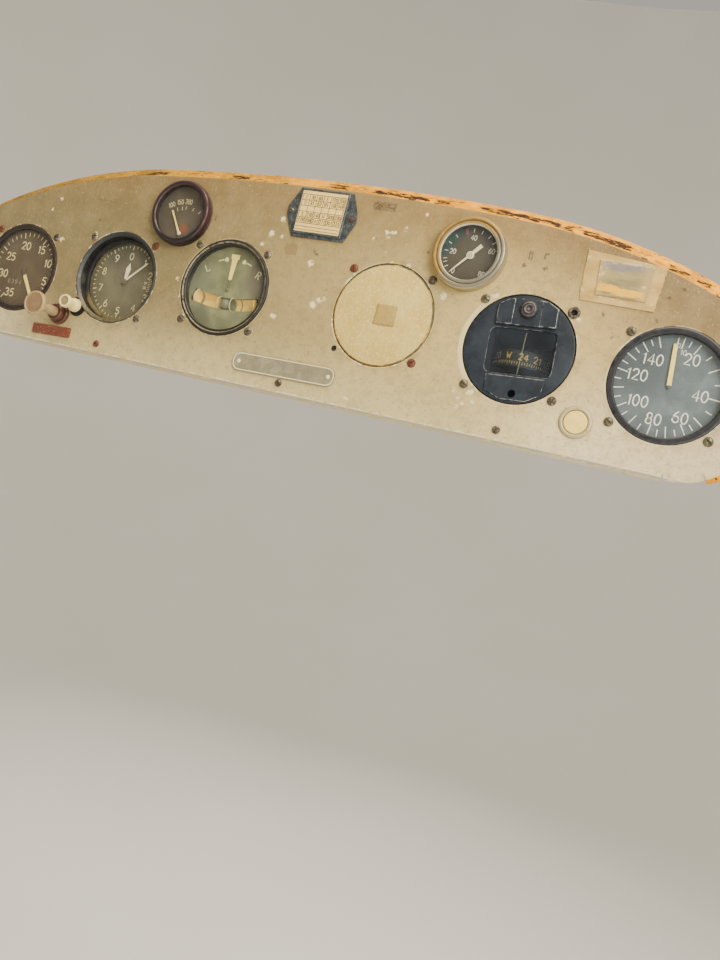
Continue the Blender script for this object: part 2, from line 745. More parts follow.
def hole_loop(hole, extra):
    """A round hole, with a round notch joined to it where it has one."""
    at, radius = hole["at"], hole["radius"] + extra
    if "notch" not in hole:
        return circle(*at, radius, hole.get("steps", 72))
    notch, small = hole["notch"][:2], hole["notch"][2] + extra
    toward, cut, lap = crossing(at, radius, notch, small)
    around = arc(*at, radius, toward + cut, toward + 360 - cut, 64)
    return around + arc(*notch, small, toward - 180 + lap, toward + 180 - lap, 18)[1:-1]


HOLES = [{"at": centre, "radius": LARGE_HOLE} for centre in LARGE_CENTRES]
HOLES[1]["notch"] = (*SET_KNOB, 8.6)
HOLES += [{"at": centre, "radius": SMALL_HOLE} for centre in (OIL_TEMPERATURE, OIL_PRESSURE)]
HOLES.append({"at": HEAT, "radius": 6.3, "steps": 32})
HOLES.append({"at": PORT, "radius": 6.5, "steps": 32})
EYELET = (COMPASS[0] + SCREW_SPOT, COMPASS[1] + SCREW_SPOT)
LOST_SCREW = (BLANK[0] - SCREW_SPOT, BLANK[1] - SCREW_SPOT)
HOLES += [{"at": spot, "radius": 2.3, "steps": 24} for spot in (EYELET, LOST_SCREW)]
PUNCHED_EDGE = [(1, FACE), (0.35, FACE), (0.1, FACE + 0.1), (0, FACE + 0.35),
    (0, BACK - 0.3), (0.1, BACK - 0.1), (0.3, BACK), (0.9, BACK)]


def panel_sheet():
    parts, inner_front, inner_back = [], [], []
    for number, (run, section) in enumerate(edge_runs()):
        rows, points, strips, caps = swept(run, section)
        turn_back = len(rows[0]) // 2 + 2
        outside = BRUSHED_CREAM if number == 0 else KHAKI_LACQUER
        first = 2 if number == 0 else 0
        parts.append((KHAKI_LACQUER, (points, [f for j, f in strips if j < first])))
        parts.append((outside, (points, [f for j, f in strips if first <= j < turn_back])))
        parts.append((REAR_PRIMER, (points, [f for j, f in strips if j >= turn_back])))
        parts.append((outside, (points, caps)))
        inner_front += [row[0] for row in rows]
        inner_back += [row[-1] for row in rows]
    count = len(inner_front)
    walls = [(i, (i + 1) % count, (i + 1) % count + count, i + count) for i in range(count)
        if 0.01 < math.dist(inner_front[i], inner_front[(i + 1) % count]) <= 1.2 * SLIT]
    parts.append((KHAKI_LACQUER, (inner_front + inner_back, walls)))

    for skin, level, material in ((inner_front, 0, KHAKI_LACQUER), (inner_back, -1, REAR_PRIMER)):
        extra, y = PUNCHED_EDGE[level]
        loops = [[(x, z) for x, _, z in skin]] + [hole_loop(hole, extra) for hole in HOLES]
        fill = tessellate_polygon([[Vector((x, z, 0)) for x, z in loop] for loop in loops])
        flat = [(x, y, z) for loop in loops for x, z in loop]
        parts.append((material, (flat, [tuple(corners) for corners in fill])))
    for hole in HOLES:
        rings = [[(x, y, z) for x, z in hole_loop(hole, extra)] for extra, y in PUNCHED_EDGE]
        parts.append((KHAKI_LACQUER, loft(rings)))
    return piece("panel_skin", parts, stands_for=["panel_sheet"])


sheet = panel_sheet()
open_edges = bmesh.new()
open_edges.from_mesh(sheet.data)
print("panel faces:", len(sheet.data.polygons), "open edges:",
    sum(not edge.is_manifold for edge in open_edges.edges))
open_edges.free()

# %% [markdown]
# ## Fasteners
#
# Slotted round-head screws hold every large instrument, and no two have aged alike: some are
# plated, some rusty red, some nearly black. One head is turned and its slot cut with a Boolean
# modifier, and every screw is a copy of that mesh, turned by its own angle. Cutting once keeps
# the script quick and all the slots equally crisp.

# %% Metals for fasteners and fittings


def old_metal(name, clean, stain, share, rough=0.38):
    """Bare or plated metal with matt stains that cover about `share` of it."""
    f = Finish(name)
    patch = f.mottle(2.6, 6, 0.7)
    stained = f.step(patch, 0.62 - 0.3 * share, 0.7 - 0.3 * share)
    scuff = f.mottle(0.5, 3, 0.5, (1, 1, 6))
    f.ground(f.step(scuff, 0.3, 0.7, 0, 0.25), clean, "3a3733")
    f.coat(stained, stain)
    f.dents(f.plus(f.both(stained, 0.6), f.both(scuff, 0.2)), 0.08)
    metallic = f.step(stained, 0, 1, 0.95, 0.15)
    return f.done(f.step(stained, 0, 1, rough, 0.75), metallic)


SCREW_STEEL = old_metal("screw_steel", "978f80", "443c32", 0.6, 0.38)
SCREW_RED = old_metal("screw_red_rust", "94604a", "64392a", 0.8)
SCREW_DARK = old_metal("screw_dark", "8b8672", "4d4a3a", 0.6, 0.4)
SLOT_DIRT = old_metal("slot_dirt", "1c1914", "120f0c", 0.9, 0.6)
ZINC_PLATE = old_metal("zinc_plate", "9c9a93", "7a6a4c", 0.35)
BRASS = old_metal("brass_fitting", "b08d4e", "6f5a35", 0.5, 0.32)

# %% The slotted screw
SCREW_HEAD = {"radius": 3.3, "height": 1.8, "slot": 1, "slot_depth": 0.9, "shank": 1.9}
SHANK_END = -1.1


def cut_screw():
    radius, height = SCREW_HEAD["radius"], SCREW_HEAD["height"]
    shank, slot = SCREW_HEAD["shank"], SCREW_HEAD["slot"]
    profile = softened([(AXIS, -height), (0.45 * radius, -0.97 * height, 1),
        (0.8 * radius, -0.7 * height, 1), (radius, -0.25, 0.5), (radius, 0), (shank, 0),
        (shank, SHANK_END - FACE), (AXIS, SHANK_END - FACE)])
    blank = piece("screw_blank", [(SCREW_STEEL, turned(profile, segments=32))])
    bar = [(-5, -slot / 2), (5, -slot / 2), (5, slot / 2), (-5, slot / 2)]
    cutter = piece("screw_cutter", [(SCREW_DARK,
        slab(bar, -height - 1, -height + SCREW_HEAD["slot_depth"]))])
    mesh = carve(blank, [cutter]).data
    bpy.data.objects.remove(blank)
    mesh.name = "slotted_screw"
    for face in mesh.polygons:
        corners = [mesh.vertices[i].co / MM for i in face.vertices]
        in_slot = all(abs(corner.z) < slot / 2 + 0.01 for corner in corners)
        face.material_index = int(in_slot and face.center.y / MM < -0.8)
    return mesh


SCREW_MESH = cut_screw()


def screw(name, at, turn, material, scale=1.0, y=FACE):
    mesh = SCREW_MESH.copy()
    mesh.transform(Matrix.Translation(Vector((at[0], y, at[1])) * MM)
        @ Matrix.Rotation(math.radians(turn), 4, "Y") @ Matrix.Scale(scale, 4))
    mesh.materials.clear()
    mesh.materials.append(material)
    mesh.materials.append(SLOT_DIRT)
    mesh.set_sharp_from_angle(angle=math.radians(32))
    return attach(in_scene(name, mesh), "panel")


CORNERS = {"upper_left": (-1, 1), "upper_right": (1, 1), "lower_right": (1, -1),
    "lower_left": (-1, -1)}
# The turn of the slot and the metal of the screw in each corner, and None where it is missing.
SLOTS = {
    "tachometer": [(20, SCREW_RED), (-35, SCREW_STEEL), (65, SCREW_STEEL), (10, SCREW_DARK)],
    "altimeter": [(-20, SCREW_STEEL), (40, SCREW_RED), (15, SCREW_STEEL), None],
    "turn_indicator": [(-30, SCREW_DARK), (50, SCREW_STEEL), (-25, SCREW_STEEL),
        (15, SCREW_STEEL)],
    "blanking_disc": [(75, SCREW_RED), (-20, SCREW_STEEL), (-40, SCREW_RED), None],
    "compass": [(30, SCREW_DARK), None, (-60, SCREW_STEEL), (25, SCREW_DARK)],
    "airspeed": [(48, SCREW_DARK), (45, SCREW_DARK), (34, SCREW_DARK), (36, SCREW_DARK)],
}
for (name, slots), centre in zip(SLOTS.items(), LARGE_CENTRES):
    for (corner, (side, up)), slot in zip(CORNERS.items(), slots):
        if slot:
            at = (centre[0] + side * SCREW_SPOT, centre[1] + up * SCREW_SPOT)
            screw(f"{name}_screw_{corner}", at, *slot)
print("screw faces:", len(SCREW_MESH.polygons))

# %% The empty eyelet and the lower edge's fasteners
eyelet = softened(from_level(FACE, [(2.2, SHEET), (2.2, -0.7, 0.3), (3.3, -0.8, 0.3),
    (4.4, -0.2, 0.4), (4.4, 0), (2.4, 0)]))
piece("compass_eyelet", [(SCREW_STEEL, turned(eyelet + eyelet[:1], EYELET, 40))])
LOWER_FASTENERS = {"left": (-174.8, SCREW_RED, 10), "middle": (0, SCREW_STEEL, 50),
    "right": (172.6, SCREW_STEEL, -30)}
for side, (x, material, slot_turn) in LOWER_FASTENERS.items():
    screw(f"lower_edge_screw_{side}", (x, 9), slot_turn, material, 0.9)

# %% [markdown]
# ## Black rims, crackle cases and clear glass
#
# Bezels were dipped in a half-gloss black that wears grey on its outer corners. The cases
# behind have a crackle finish, a paint that shrinks into cells as it is baked, and Voronoi
# cells in the bump do the same. Glass in a render is mostly what it reflects, so the discs mix
# a clear shader with a mirror by Fresnel, plus a film of dust. Only their outer faces reflect:
# light that isn't bent on its way in would meet a perfect mirror inside the pane. A refracting
# glass would shade the dials with noisy, slow caustics.

# %% Rim lacquer, crackle finish and glass


def rim_lacquer(name, at, edge_radius, base, worn, wear, rough=0.36, below=None):
    """Black lacquer worn near one radius or, if `below` is given, faded below that height."""
    f = Finish(name, gloss=0.55)
    patch = f.mottle(4, 5, 0.7)
    fine = f.mottle(0.8, 3)
    off_edge = f.off_ring(at, edge_radius)
    near = f.step(off_edge, 0.1, 0.8, 1, 0)
    if below is not None:
        near = f.both(f.step(off_edge, 1.2, 2.4, 1, 0),
            f.step(f.along("Z"), below - 8, below + 4, 1, 0))
    rubbed = f.both(near, f.step(f.plus(patch, 0.12 * wear), 0.44, 0.66, 0, wear))
    f.ground(f.step(patch, 0.35, 0.7, 0, 0.4), base, "2e2b27")
    f.coat(rubbed, worn)
    f.dents(f.both(fine, 0.5), 0.05)
    return f.done(f.step(patch, 0.3, 0.7, rough, rough + 0.2))


def crackle_black():
    f = Finish("crackle_black")
    ridge = f.step(f.off_crack(1.6), 0, 0.35)
    dust = f.patches(0.4, 0.75, 20, 5, 0.7)
    f.ground(ridge, "0e0e10", "232326")
    f.coat(f.both(dust, 0.35), "6d685d")
    f.dents(ridge, 0.18)
    return f.done(f.step(dust, 0, 1, 0.4, 0.7))


def clear_glass(name, dust, tint="d8ddd6", wiped=0.6):
    f = Finish(name, roughness=0.7)
    film = f.step(f.mottle(26, 4, 0.7), 0.3, 0.8, 0.25 * dust, dust)
    wipe = f.step(f.mottle(2.5, 3, 0.6, (0.2, 1, 1.4)), 0.62, 0.72, 0, wiped * dust)
    f.feed(f.shader.inputs["Base Color"], tint)
    clear = f.node("ShaderNodeBsdfTransparent", {})
    mirror = f.node("ShaderNodeBsdfGlossy", {"Roughness": 0.04})
    fresnel = f.node("ShaderNodeFresnel", {"IOR": 1.45})
    outside = f.minus(1, f.node("ShaderNodeNewGeometry", {}).outputs["Backfacing"])
    pane = f.node("ShaderNodeMixShader", {0: f.both(fresnel.outputs[0], outside),
        1: clear.outputs[0], 2: mirror.outputs[0]})
    dust_share = f.both(f.plus(film, wipe), outside)
    dusty = f.node("ShaderNodeMixShader", {0: dust_share, 1: pane.outputs[0],
        2: f.shader.outputs[0]})
    f.feed(f.tree.nodes["Material Output"].inputs["Surface"], dusty.outputs[0])
    return f.material


CRACKLE_BLACK = crackle_black()
DIAL_GLASS = clear_glass("dial_glass", 0.04)
TUBE_GLASS = clear_glass("tube_glass", 0.02)
DEEP_BLACK = rim_lacquer("well_black", (0, 0), 0, "101318", "8d8a82", 0, 0.5)

# %% [markdown]
# ## The four large instruments
#
# All four share a body: an 82 mm square flange with its corners cut off, a turned case behind
# it and a glass held by the bezel. From the front, the depth of the dial and the turning of
# the bezel tell them apart, so those are profiles given to shared functions. Behind, each has
# the fitting of its kind: a shaft drive, air ports or a suction port.

# %% Cases and their fittings
FLANGE_SIZE = 82
FLANGE_CHAMFER = 16
FLANGE_FRONT = BACK + 0.3
FLANGE_REAR = FLANGE_FRONT + 3
CASE_RADIUS = 38
CAP_RADIUS = 35


def flange_outline():
    a, b = FLANGE_SIZE / 2, FLANGE_SIZE / 2 - FLANGE_CHAMFER
    corners = [(-b, -a), (b, -a), (a, -b), (a, b), (b, a), (-b, a), (-a, b), (-a, -b)]
    return rounded_outline(corners, 2)


def hose_port(at, radius, start, end):
    """A hex seat and a barbed nipple that point to the rear."""
    hexagon = turned([(AXIS, start), (1.5 * radius, start), (1.5 * radius, start + 3.5),
        (AXIS, start + 3.5)], at, 6)
    barb = [(AXIS, start + 3), (radius, start + 3), (radius, start + 4)]
    rings = 3
    step = (end - start - 4.5) / rings
    for i in range(rings):
        y = start + 4 + i * step
        barb += [(0.72 * radius, y + 0.1), (0.95 * radius, y + 0.8 * step),
            (0.95 * radius, y + step)]
    barb += [(0.5 * radius, end), (0.45 * radius, end - 3), (AXIS, end - 3)]
    return [(BRASS, hexagon), (BRASS, turned(barb, at, 28))]


def large_case(name, at, floor, rear, fittings, node):
    """Flange, turned case with its dial well, and rear cap."""
    cap_end = rear + 4
    body = softened([(AXIS, floor), (36, floor), (36, FLANGE_FRONT), (CASE_RADIUS, FLANGE_FRONT),
        (CASE_RADIUS, FLANGE_REAR + 2), (CASE_RADIUS - 0.7, FLANGE_REAR + 2.6, 0.4),
        (CASE_RADIUS - 0.7, rear - 5, 0.4), (CASE_RADIUS, rear - 4.4, 0.4),
        (CASE_RADIUS, rear, 1.2), (CAP_RADIUS, rear, 0.4), (CAP_RADIUS, cap_end, 1.2),
        (CAP_RADIUS - 3, cap_end, 0.3), (CAP_RADIUS - 3.5, cap_end - 0.6, 0.3),
        (AXIS, cap_end - 0.6)])
    flange = slab(flange_outline(), FLANGE_FRONT, FLANGE_REAR,
        [circle(0, 0, CASE_RADIUS - 0.3, 72)])
    parts = [(CRACKLE_BLACK, turned(body, at)), (CRACKLE_BLACK, placed(flange, at))]
    plate = rounded_outline([(-15, 8), (15, 8), (15, 20), (-15, 20)], 1.2)
    parts.append((ZINC_PLATE, placed(slab(plate, cap_end - 0.7, cap_end - 0.1), at)))
    for part in fittings:
        parts += hose_port((at[0] + part["x"], at[1] + part["z"]), part["radius"], cap_end - 0.7,
            part["end"])
    piece(f"{name}_shell", parts, stands_for=[node])
    for number in range(3):
        lug = math.radians(60 + 120 * number)
        spot = (at[0] + 30 * math.sin(lug), at[1] + 30 * math.cos(lug))
        cap_screw(f"{name}_cap_screw_{number + 1}", spot, cap_end - 0.6)


def cap_screw(name, at, seat):
    """A small slotted screw that faces the rear."""
    made = screw(name, (0, 0), 25, SCREW_STEEL, 0.6, y=0)
    made.data.transform(Matrix.Translation(Vector((at[0], seat, at[1])) * MM)
        @ Matrix.Rotation(math.pi, 4, "Z"))


def rear_of(node):
    return reach(node)[1].y


TACHOMETER_REAR = rear_of("tachometer_case") - 18
ALTIMETER_REAR = rear_of("altimeter_case") - 16
TURN_REAR = rear_of("turn_indicator_case") - 18
AIRSPEED_REAR = rear_of("airspeed_indicator_case") - 16
large_case("tachometer", TACHOMETER, -1.9, TACHOMETER_REAR, [], "tachometer_case")
large_case("altimeter", ALTIMETER, 6.6, ALTIMETER_REAR,
    [{"x": 22, "z": -20, "radius": 4.6, "end": ALTIMETER_REAR + 16}], "altimeter_case")
large_case("turn_indicator", TURN, 7, TURN_REAR,
    [{"x": 0, "z": -24, "radius": 5.2, "end": TURN_REAR + 18}], "turn_indicator_case")
large_case("airspeed", AIRSPEED, -1.9, AIRSPEED_REAR,
    [{"x": side, "z": 0, "radius": 4.6, "end": AIRSPEED_REAR + 16} for side in (-14, 14)],
    "airspeed_indicator_case")


def shaft_drive():
    """The threaded coupling for the tachometer's flexible shaft."""
    seat, end = TACHOMETER_REAR + 3.3, TACHOMETER_REAR + 18
    profile = [(AXIS, seat), (9, seat), (9, seat + 3), (10.9, seat + 3.2), (10.9, seat + 8)]
    turns = 5
    for i in range(turns):
        y = seat + 8.4 + i * 1.2
        profile += [(8.6, y), (8, y + 0.6)]
    profile += [(8.6, end - 0.2), (7.8, end), (4, end), (4, end - 6), (AXIS, end - 6)]
    return piece("tachometer_shaft_drive", [(BRASS, turned(profile, TACHOMETER, 48))])


print("shaft drive ends at y", round(max(v.co.y for v in shaft_drive().data.vertices) / MM, 1))

# %% Bezels and glasses
GLASS_RADIUS = 35.7


def ring_piece(name, profile, at, material, node, segments=96):
    """A closed turned ring from a profile that may have softened corners."""
    line = softened(profile)
    return piece(name, [(material, turned(line + line[:1], at, segments))], stands_for=[node])


def flat_bezel(proud):
    """The plain rim of a large instrument, from the glass outward."""
    front = FACE - proud
    return [(34.8, FACE + 0.9), (34.9, front + 0.7, 0.2), (35.7, front, 0.4), (38.4, front, 0.6),
        (39.4, FACE - 0.05, 0.3), (39.4, BACK), (36, BACK), (36, FACE + 0.9)]


def funnel_bezel(proud):
    """The altimeter's rim, which slopes in like a funnel to the mouth of the well."""
    front = FACE - proud
    return [(36.05, BACK), (36.1, BACK - 0.2), (38.1, front + 0.35, 0.2), (38.5, front, 0.3),
        (39, front + 0.1, 0.3), (39.4, FACE - 0.05, 0.2), (39.4, BACK), (36.05, BACK)]


def ribbed_bezel(proud):
    """The turn indicator's rim: an inner lip, a groove and an outer ring."""
    front = FACE - proud
    return [(34.5, FACE + 0.6), (34.6, front + 1.2, 0.2), (35.2, front + 0.4, 0.3),
        (36, front + 0.3, 0.3), (36.4, front + 0.9, 0.2), (36.9, front + 0.9, 0.2),
        (37.2, front, 0.3), (38.7, front + 0.1, 0.5), (39.4, FACE - 0.1, 0.4), (39.4, BACK),
        (36, BACK), (36, FACE + 0.6)]


def glass_disc(name, at, front, radius, thickness, node):
    profile = softened([(AXIS, front), (radius, front, 0.3), (radius, front + thickness, 0.3),
        (AXIS, front + thickness)])
    return piece(name, [(DIAL_GLASS, turned(profile, at))], stands_for=[node])


ring_piece("tachometer_rim", flat_bezel(0.5), TACHOMETER,
    rim_lacquer("tachometer_rim_lacquer", TACHOMETER, 38.6, "1a120f", "543f36", 0.5),
    "tachometer_bezel")
ring_piece("altimeter_rim", funnel_bezel(0.8), ALTIMETER,
    rim_lacquer("altimeter_rim_lacquer", ALTIMETER, 37.4, "222830", "605842", 1.1,
    below=ALTIMETER[1] - 20), "altimeter_bezel")
ring_piece("turn_indicator_rim", ribbed_bezel(1.2), TURN,
    rim_lacquer("turn_rim_lacquer", TURN, 37, "0e0f0e", "a39a7e", 0.85), "turn_indicator_bezel")
ring_piece("airspeed_rim", flat_bezel(0.5), AIRSPEED,
    rim_lacquer("airspeed_rim_lacquer", AIRSPEED, 38.8, "0a0f1e", "46505f", 0.5),
    "airspeed_indicator_bezel")
ring_piece("altimeter_well_ring", [(32.8, -0.3), (33, -1.1, 0.2), (35.7, -1.1), (35.7, 0.3),
    (32.8, 0.3)], ALTIMETER, rim_lacquer("well_ring_lacquer", ALTIMETER, 34.2, "181c22", "6f6440",
    1.1, below=ALTIMETER[1] - 16), "altimeter_retaining_ring")

for label, at, node in (("tachometer", TACHOMETER, "tachometer_glass"),
        ("airspeed", AIRSPEED, "airspeed_indicator_glass"),
        ("altimeter", ALTIMETER, "altimeter_glass"),
        ("turn_indicator", TURN, "turn_indicator_glass")):
    glass_disc(f"{label}_pane", at, reach(node)[0].y, GLASS_RADIUS, 1.6, node)

# %% [markdown]
# ## Dials
#
# Each dial is a printed disc behind glass that has faded its own way, to brown, olive, dusty
# green or slate. The flat CAD discs already have the right shape, so they only get a new
# material. Figures and ticks are thin raised bands, as screen-printed paint is, rather than a
# texture, so they stay sharp at any distance. A figure is a few strokes, and each stroke is a
# band swept along a line.

# %% Faded dial faces


def faded_dial(name, at, base, blotch, fleck="a39c86", tints=()):
    """Matt dial paint with blotches, specks and (colour, x, z, radius, share) tints."""
    f = Finish(name, roughness=0.75, gloss=0.3)
    cloud = f.patches(0.35, 0.7, 15, 4, 0.65)
    specks = f.patches(0.66, 0.74, 0.9, 3, 0.6)
    f.ground(cloud, base, blotch)
    for tint, x, z, radius, share in tints:
        away = f.circles([(at[0] + x, at[1] + z, radius)])
        inside = f.step(away, -0.45 * radius, 0.35 * radius, share, 0)
        f.coat(f.both(inside, f.step(cloud, 0, 1, 0.75, 1)), tint)
    f.coat(f.both(specks, 0.4), fleck)
    f.dents(specks, 0.02)
    return f.done(f.step(cloud, 0, 1, 0.68, 0.85))


def dress(node, material, edge=0.0):
    """Gives a CAD node a new material, and rounds its edges if asked."""
    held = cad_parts[node]
    held.material_slots[0].material = material
    if edge:
        rounded(held, edge, 35)


dress("tachometer_dial", faded_dial("brown_dial", TACHOMETER, "4a3d2c", "5a4b36"))
dress("altimeter_dial", faded_dial("olive_dial", ALTIMETER, "5f5b45", "6c674f",
    tints=[("2c2f33", -12, 26, 15, 0.5), ("2f2f2e", 14, 28, 9, 0.45)]))
dress("turn_indicator_dial", faded_dial("green_dial", TURN, "6a6e4f", "8a8d64",
    tints=[("5c4f47", 31, 12, 19, 0.85), ("5f6557", -31, 6, 13, 0.65),
    ("545349", -20, -28, 11, 0.65), ("5f5a47", 8, 33, 10, 0.5)]))
dress("airspeed_indicator_dial", faded_dial("slate_dial", AIRSPEED, "56626a", "6e7c82",
    tints=[("3a454d", -24, 14, 26, 0.7)]))
dress("oil_temperature_dial", faded_dial("umber_dial", OIL_TEMPERATURE, "463e33", "564d3d",
    tints=[("86432a", 2.5, -11.6, 4.5, 0.75)]))
dress("oil_pressure_dial", faded_dial("charcoal_dial", OIL_PRESSURE, "403c32", "4b463b",
    tints=[("1f4b4b", -18, 11, 7, 0.85), ("1f4448", -20, 2, 5, 0.7), ("1f4146", -9, 19, 6, 0.75),
    ("35304a", 12, 17, 7, 0.6)]))

# %% Strokes and figures


def stroke(line, width, front, rear):
    """A closed flat band of one width along a line of (x, z) points."""
    rows = []
    last, closed = len(line) - 1, line[0] == line[-1]
    for i, (x, z) in enumerate(line):
        before, after = Vector(line[max(i - 1, 0)]), Vector(line[min(i + 1, last)])
        if closed and i in (0, last):
            before, after = Vector(line[-2]), Vector(line[1])
        run = (after - before).normalized()
        side = Vector((run.y, -run.x)) * width / 2
        here = Vector((x, z))
        if not closed and i in (0, last):
            here += run * (-0.3 if i == 0 else 0.3) * width
        left, right = here + side, here - side
        rows.append([(left.x, front, left.y), (right.x, front, right.y), (right.x, rear, right.y),
            (left.x, rear, left.y)])
    points, faces = loft(rows)
    if not closed:
        faces += [(0, 1, 2, 3), tuple(len(points) - 4 + j for j in range(4))]
    return points, faces


def bow(x, z, across, up, start, end, steps=14):
    """An arc of an ellipse, angles in degrees anticlockwise from the right."""
    points = []
    for i in range(steps + 1):
        angle = math.radians(start + (end - start) * i / steps)
        points.append((x + across * math.cos(angle), z + up * math.sin(angle)))
    return points


SIX = [bow(0.3, 0.3, 0.29, 0.3, 0, 360, 20), bow(0.95, 0.25, 0.94, 0.9, 170, 122, 6)]
STROKES = {"0": [bow(0.3, 0.5, 0.29, 0.5, 0, 360, 24)],
    "1": [[(0.16, 0.82), (0.32, 1), (0.32, 0)]],
    "2": [bow(0.3, 0.71, 0.27, 0.29, 165, -35) + [(0.03, 0), (0.58, 0)]],
    "3": [bow(0.27, 0.76, 0.26, 0.24, 150, -90, 12), bow(0.27, 0.27, 0.3, 0.27, 80, -145, 14)],
    "4": [[(0.46, 0), (0.46, 1), (0, 0.3), (0.62, 0.3)]],
    "5": [[(0.54, 1), (0.1, 1), (0.06, 0.56)] + bow(0.27, 0.31, 0.3, 0.31, 125, -145)],
    "6": SIX, "7": [[(0.02, 1), (0.58, 1), (0.22, 0)]],
    "8": [bow(0.3, 0.76, 0.23, 0.24, 0, 360, 18), bow(0.3, 0.26, 0.28, 0.26, 0, 360, 20)],
    "9": [[(0.6 - x, 1 - z) for x, z in line] for line in SIX],
    "L": [[(0.06, 1), (0.06, 0), (0.56, 0)]],
    "R": [[(0.06, 0), (0.06, 1)] + bow(0.3, 0.74, 0.26, 0.26, 90, -90, 10) + [(0.06, 0.48)],
    [(0.28, 0.48), (0.58, 0)]], "N": [[(0.04, 0), (0.04, 1), (0.56, 0), (0.56, 1)]],
    "E": [[(0.56, 1), (0.06, 1), (0.06, 0), (0.56, 0)], [(0.06, 0.52), (0.46, 0.52)]],
    "S": [bow(0.3, 0.75, 0.26, 0.25, 30, 270, 12)[:-1]
    + bow(0.3, 0.25, 0.27, 0.25, 90, -150, 12)],
    "W": [[(-0.08, 1), (0.12, 0), (0.3, 0.75), (0.48, 0), (0.68, 1)]]}
PRINT_DEPTH = 0.08
SIGN_STEP = 0.82
AFTER_ONE = 0.62


def figure_lines(text, height, at, narrow=1.0):
    """The strokes of a word or number, centred on a point, and narrowed if asked."""
    lines = []
    wide = height * narrow
    steps = [AFTER_ONE if sign == "1" else SIGN_STEP for sign in text[:-1]]
    left = at[0] - (sum(steps) + 0.6) * wide / 2
    for sign, onward in zip(text, steps + [0]):
        for line in STROKES[sign]:
            lines.append([(left + x * wide, at[1] + (z - 0.5) * height) for x, z in line])
        left += onward * wide
    return lines


def inked(line, width, y):
    """A line printed on a dial whose face is at y."""
    return stroke(line, width, y - PRINT_DEPTH, y - 0.01)


def figure(text, height, at, width, y, turn=0.0, narrow=1.0):
    """The printed bands of a word or number, turned clockwise if asked."""
    return [placed(inked(line, width, y), at, turn)
        for line in figure_lines(text, height, (0, 0), narrow)]


def tick(angle, inner, outer, width, y, at=(0, 0)):
    turn = math.radians(angle)
    return inked([(at[0] + r * math.sin(turn), at[1] + r * math.cos(turn))
        for r in (inner, outer)], width, y)


def printed(name, centre, material, shapes, body="panel"):
    """Figures and ticks drawn about a dial's centre, as one piece."""
    return piece(name, [(material, placed(shape, centre)) for shape in shapes], body)


def dial_print(name, base="ece2a6", dirt="a89f74"):
    f = Finish(name, roughness=0.6)
    fade = f.patches(0.45, 0.75, 3, 4, 0.7)
    f.ground(f.both(fade, 0.5), base, dirt)
    return f.done(f.step(fade, 0, 1, 0.5, 0.75))


CREAM_PRINT = dial_print("cream_print")
WHITE_PRINT = dial_print("white_print", "efeee2", "a9aaa4")

# %% The tachometer's scale
TACHOMETER_DIAL_Y = reach("tachometer_dial")[0].y
TACHOMETER_NUMBERS = {"20": (-4.1, 21.1), "15": (13.6, 19.7), "10": (24.3, 8.6),
    "5": (25.5, -7.6), "25": (-18, 9.4), "30": (-21.8, -6.7), "35": (-9.5, -22.7)}


def tachometer_scale():
    y = TACHOMETER_DIAL_Y
    shapes = []
    for text, at in TACHOMETER_NUMBERS.items():
        shapes += figure(text, 6.6, at, 0.85, y)
    for value in range(3, 36):
        angle = 345 + (20 - value) * 8.9
        inner = 28.6 if value % 5 == 0 else 30.2
        shapes.append(tick(angle, inner, 33.2, 0.75 if value % 5 == 0 else 0.55, y))
    return shapes


def tachometer_counter():
    """The hour counter's drum figures, greyed by their window."""
    shapes = []
    for i, digit in enumerate("0394"):
        shapes += figure(digit, 3.6, (-13 + 4.1 * i, -12.6), 0.42, TACHOMETER_DIAL_Y)
    return shapes


printed("tachometer_scale", TACHOMETER, CREAM_PRINT, tachometer_scale())
printed("tachometer_counter", TACHOMETER, dial_print("faint_print", "9c937f", "6f6655"),
    tachometer_counter())

# %% The altimeter's scale
ALTIMETER_DIAL_Y = reach("altimeter_dial")[0].y
ALTIMETER_NUMBERS = [(0.3, 23.2), (15.5, 19.5), (23.5, 9.1), (23.6, -10.3), (14.8, -20.3),
    (0, -25.4), (-14.1, -20.7), (-23.6, -8), (-23.6, 6.7), (-14.3, 19.5)]


def altimeter_scale():
    y = ALTIMETER_DIAL_Y
    shapes = []
    for number, at in enumerate(ALTIMETER_NUMBERS):
        shapes += figure(str(number), 5.8, at, 0.75, y)
    for i in range(50):
        major = i % 5 == 0
        shapes.append(tick(i * 7.2, 29.3 if major else 30.6, 32.4, 0.75 if major else 0.5, y))
    for i in range(7):
        shapes.append(inked([(23.6, 5 - 1.5 * i), (27.4, 5 - 1.5 * i)], 0.35, y))
    shapes += figure("29", 2, (20.8, 2.4), 0.3, y) + figure("30", 2, (20.8, -1.6), 0.3, y)
    return shapes


printed("altimeter_scale", ALTIMETER, CREAM_PRINT, altimeter_scale())

# %% The airspeed scale, whose steps widen and then narrow
AIRSPEED_DIAL_Y = reach("airspeed_indicator_dial")[0].y
AIRSPEED_OFFSET = -1.3
AIRSPEED_ANGLES = {5: 0.4, 10: 7, 15: 15, 20: 25.6, 25: 42.7, 30: 59.3, 35: 77.6, 40: 95.7,
    45: 112.8, 50: 128.7, 55: 139, 60: 148.4, 65: 158, 70: 168.3, 75: 178, 80: 188, 85: 200,
    90: 211.8, 95: 224, 100: 235.7, 105: 247, 110: 258.5, 115: 270, 120: 281.5, 125: 291.5,
    130: 301.5, 135: 311.5, 140: 321.6, 145: 330.5, 150: 339.4}
AIRSPEED_NUMBERS = {"20": (10.2, 20.6), "40": (20.4, -2.2), "60": (11.6, -18.7),
    "80": (-4.4, -22.8), "100": (-17.2, -12.6), "120": (-21.6, 4.7), "140": (-14.2, 16.6)}


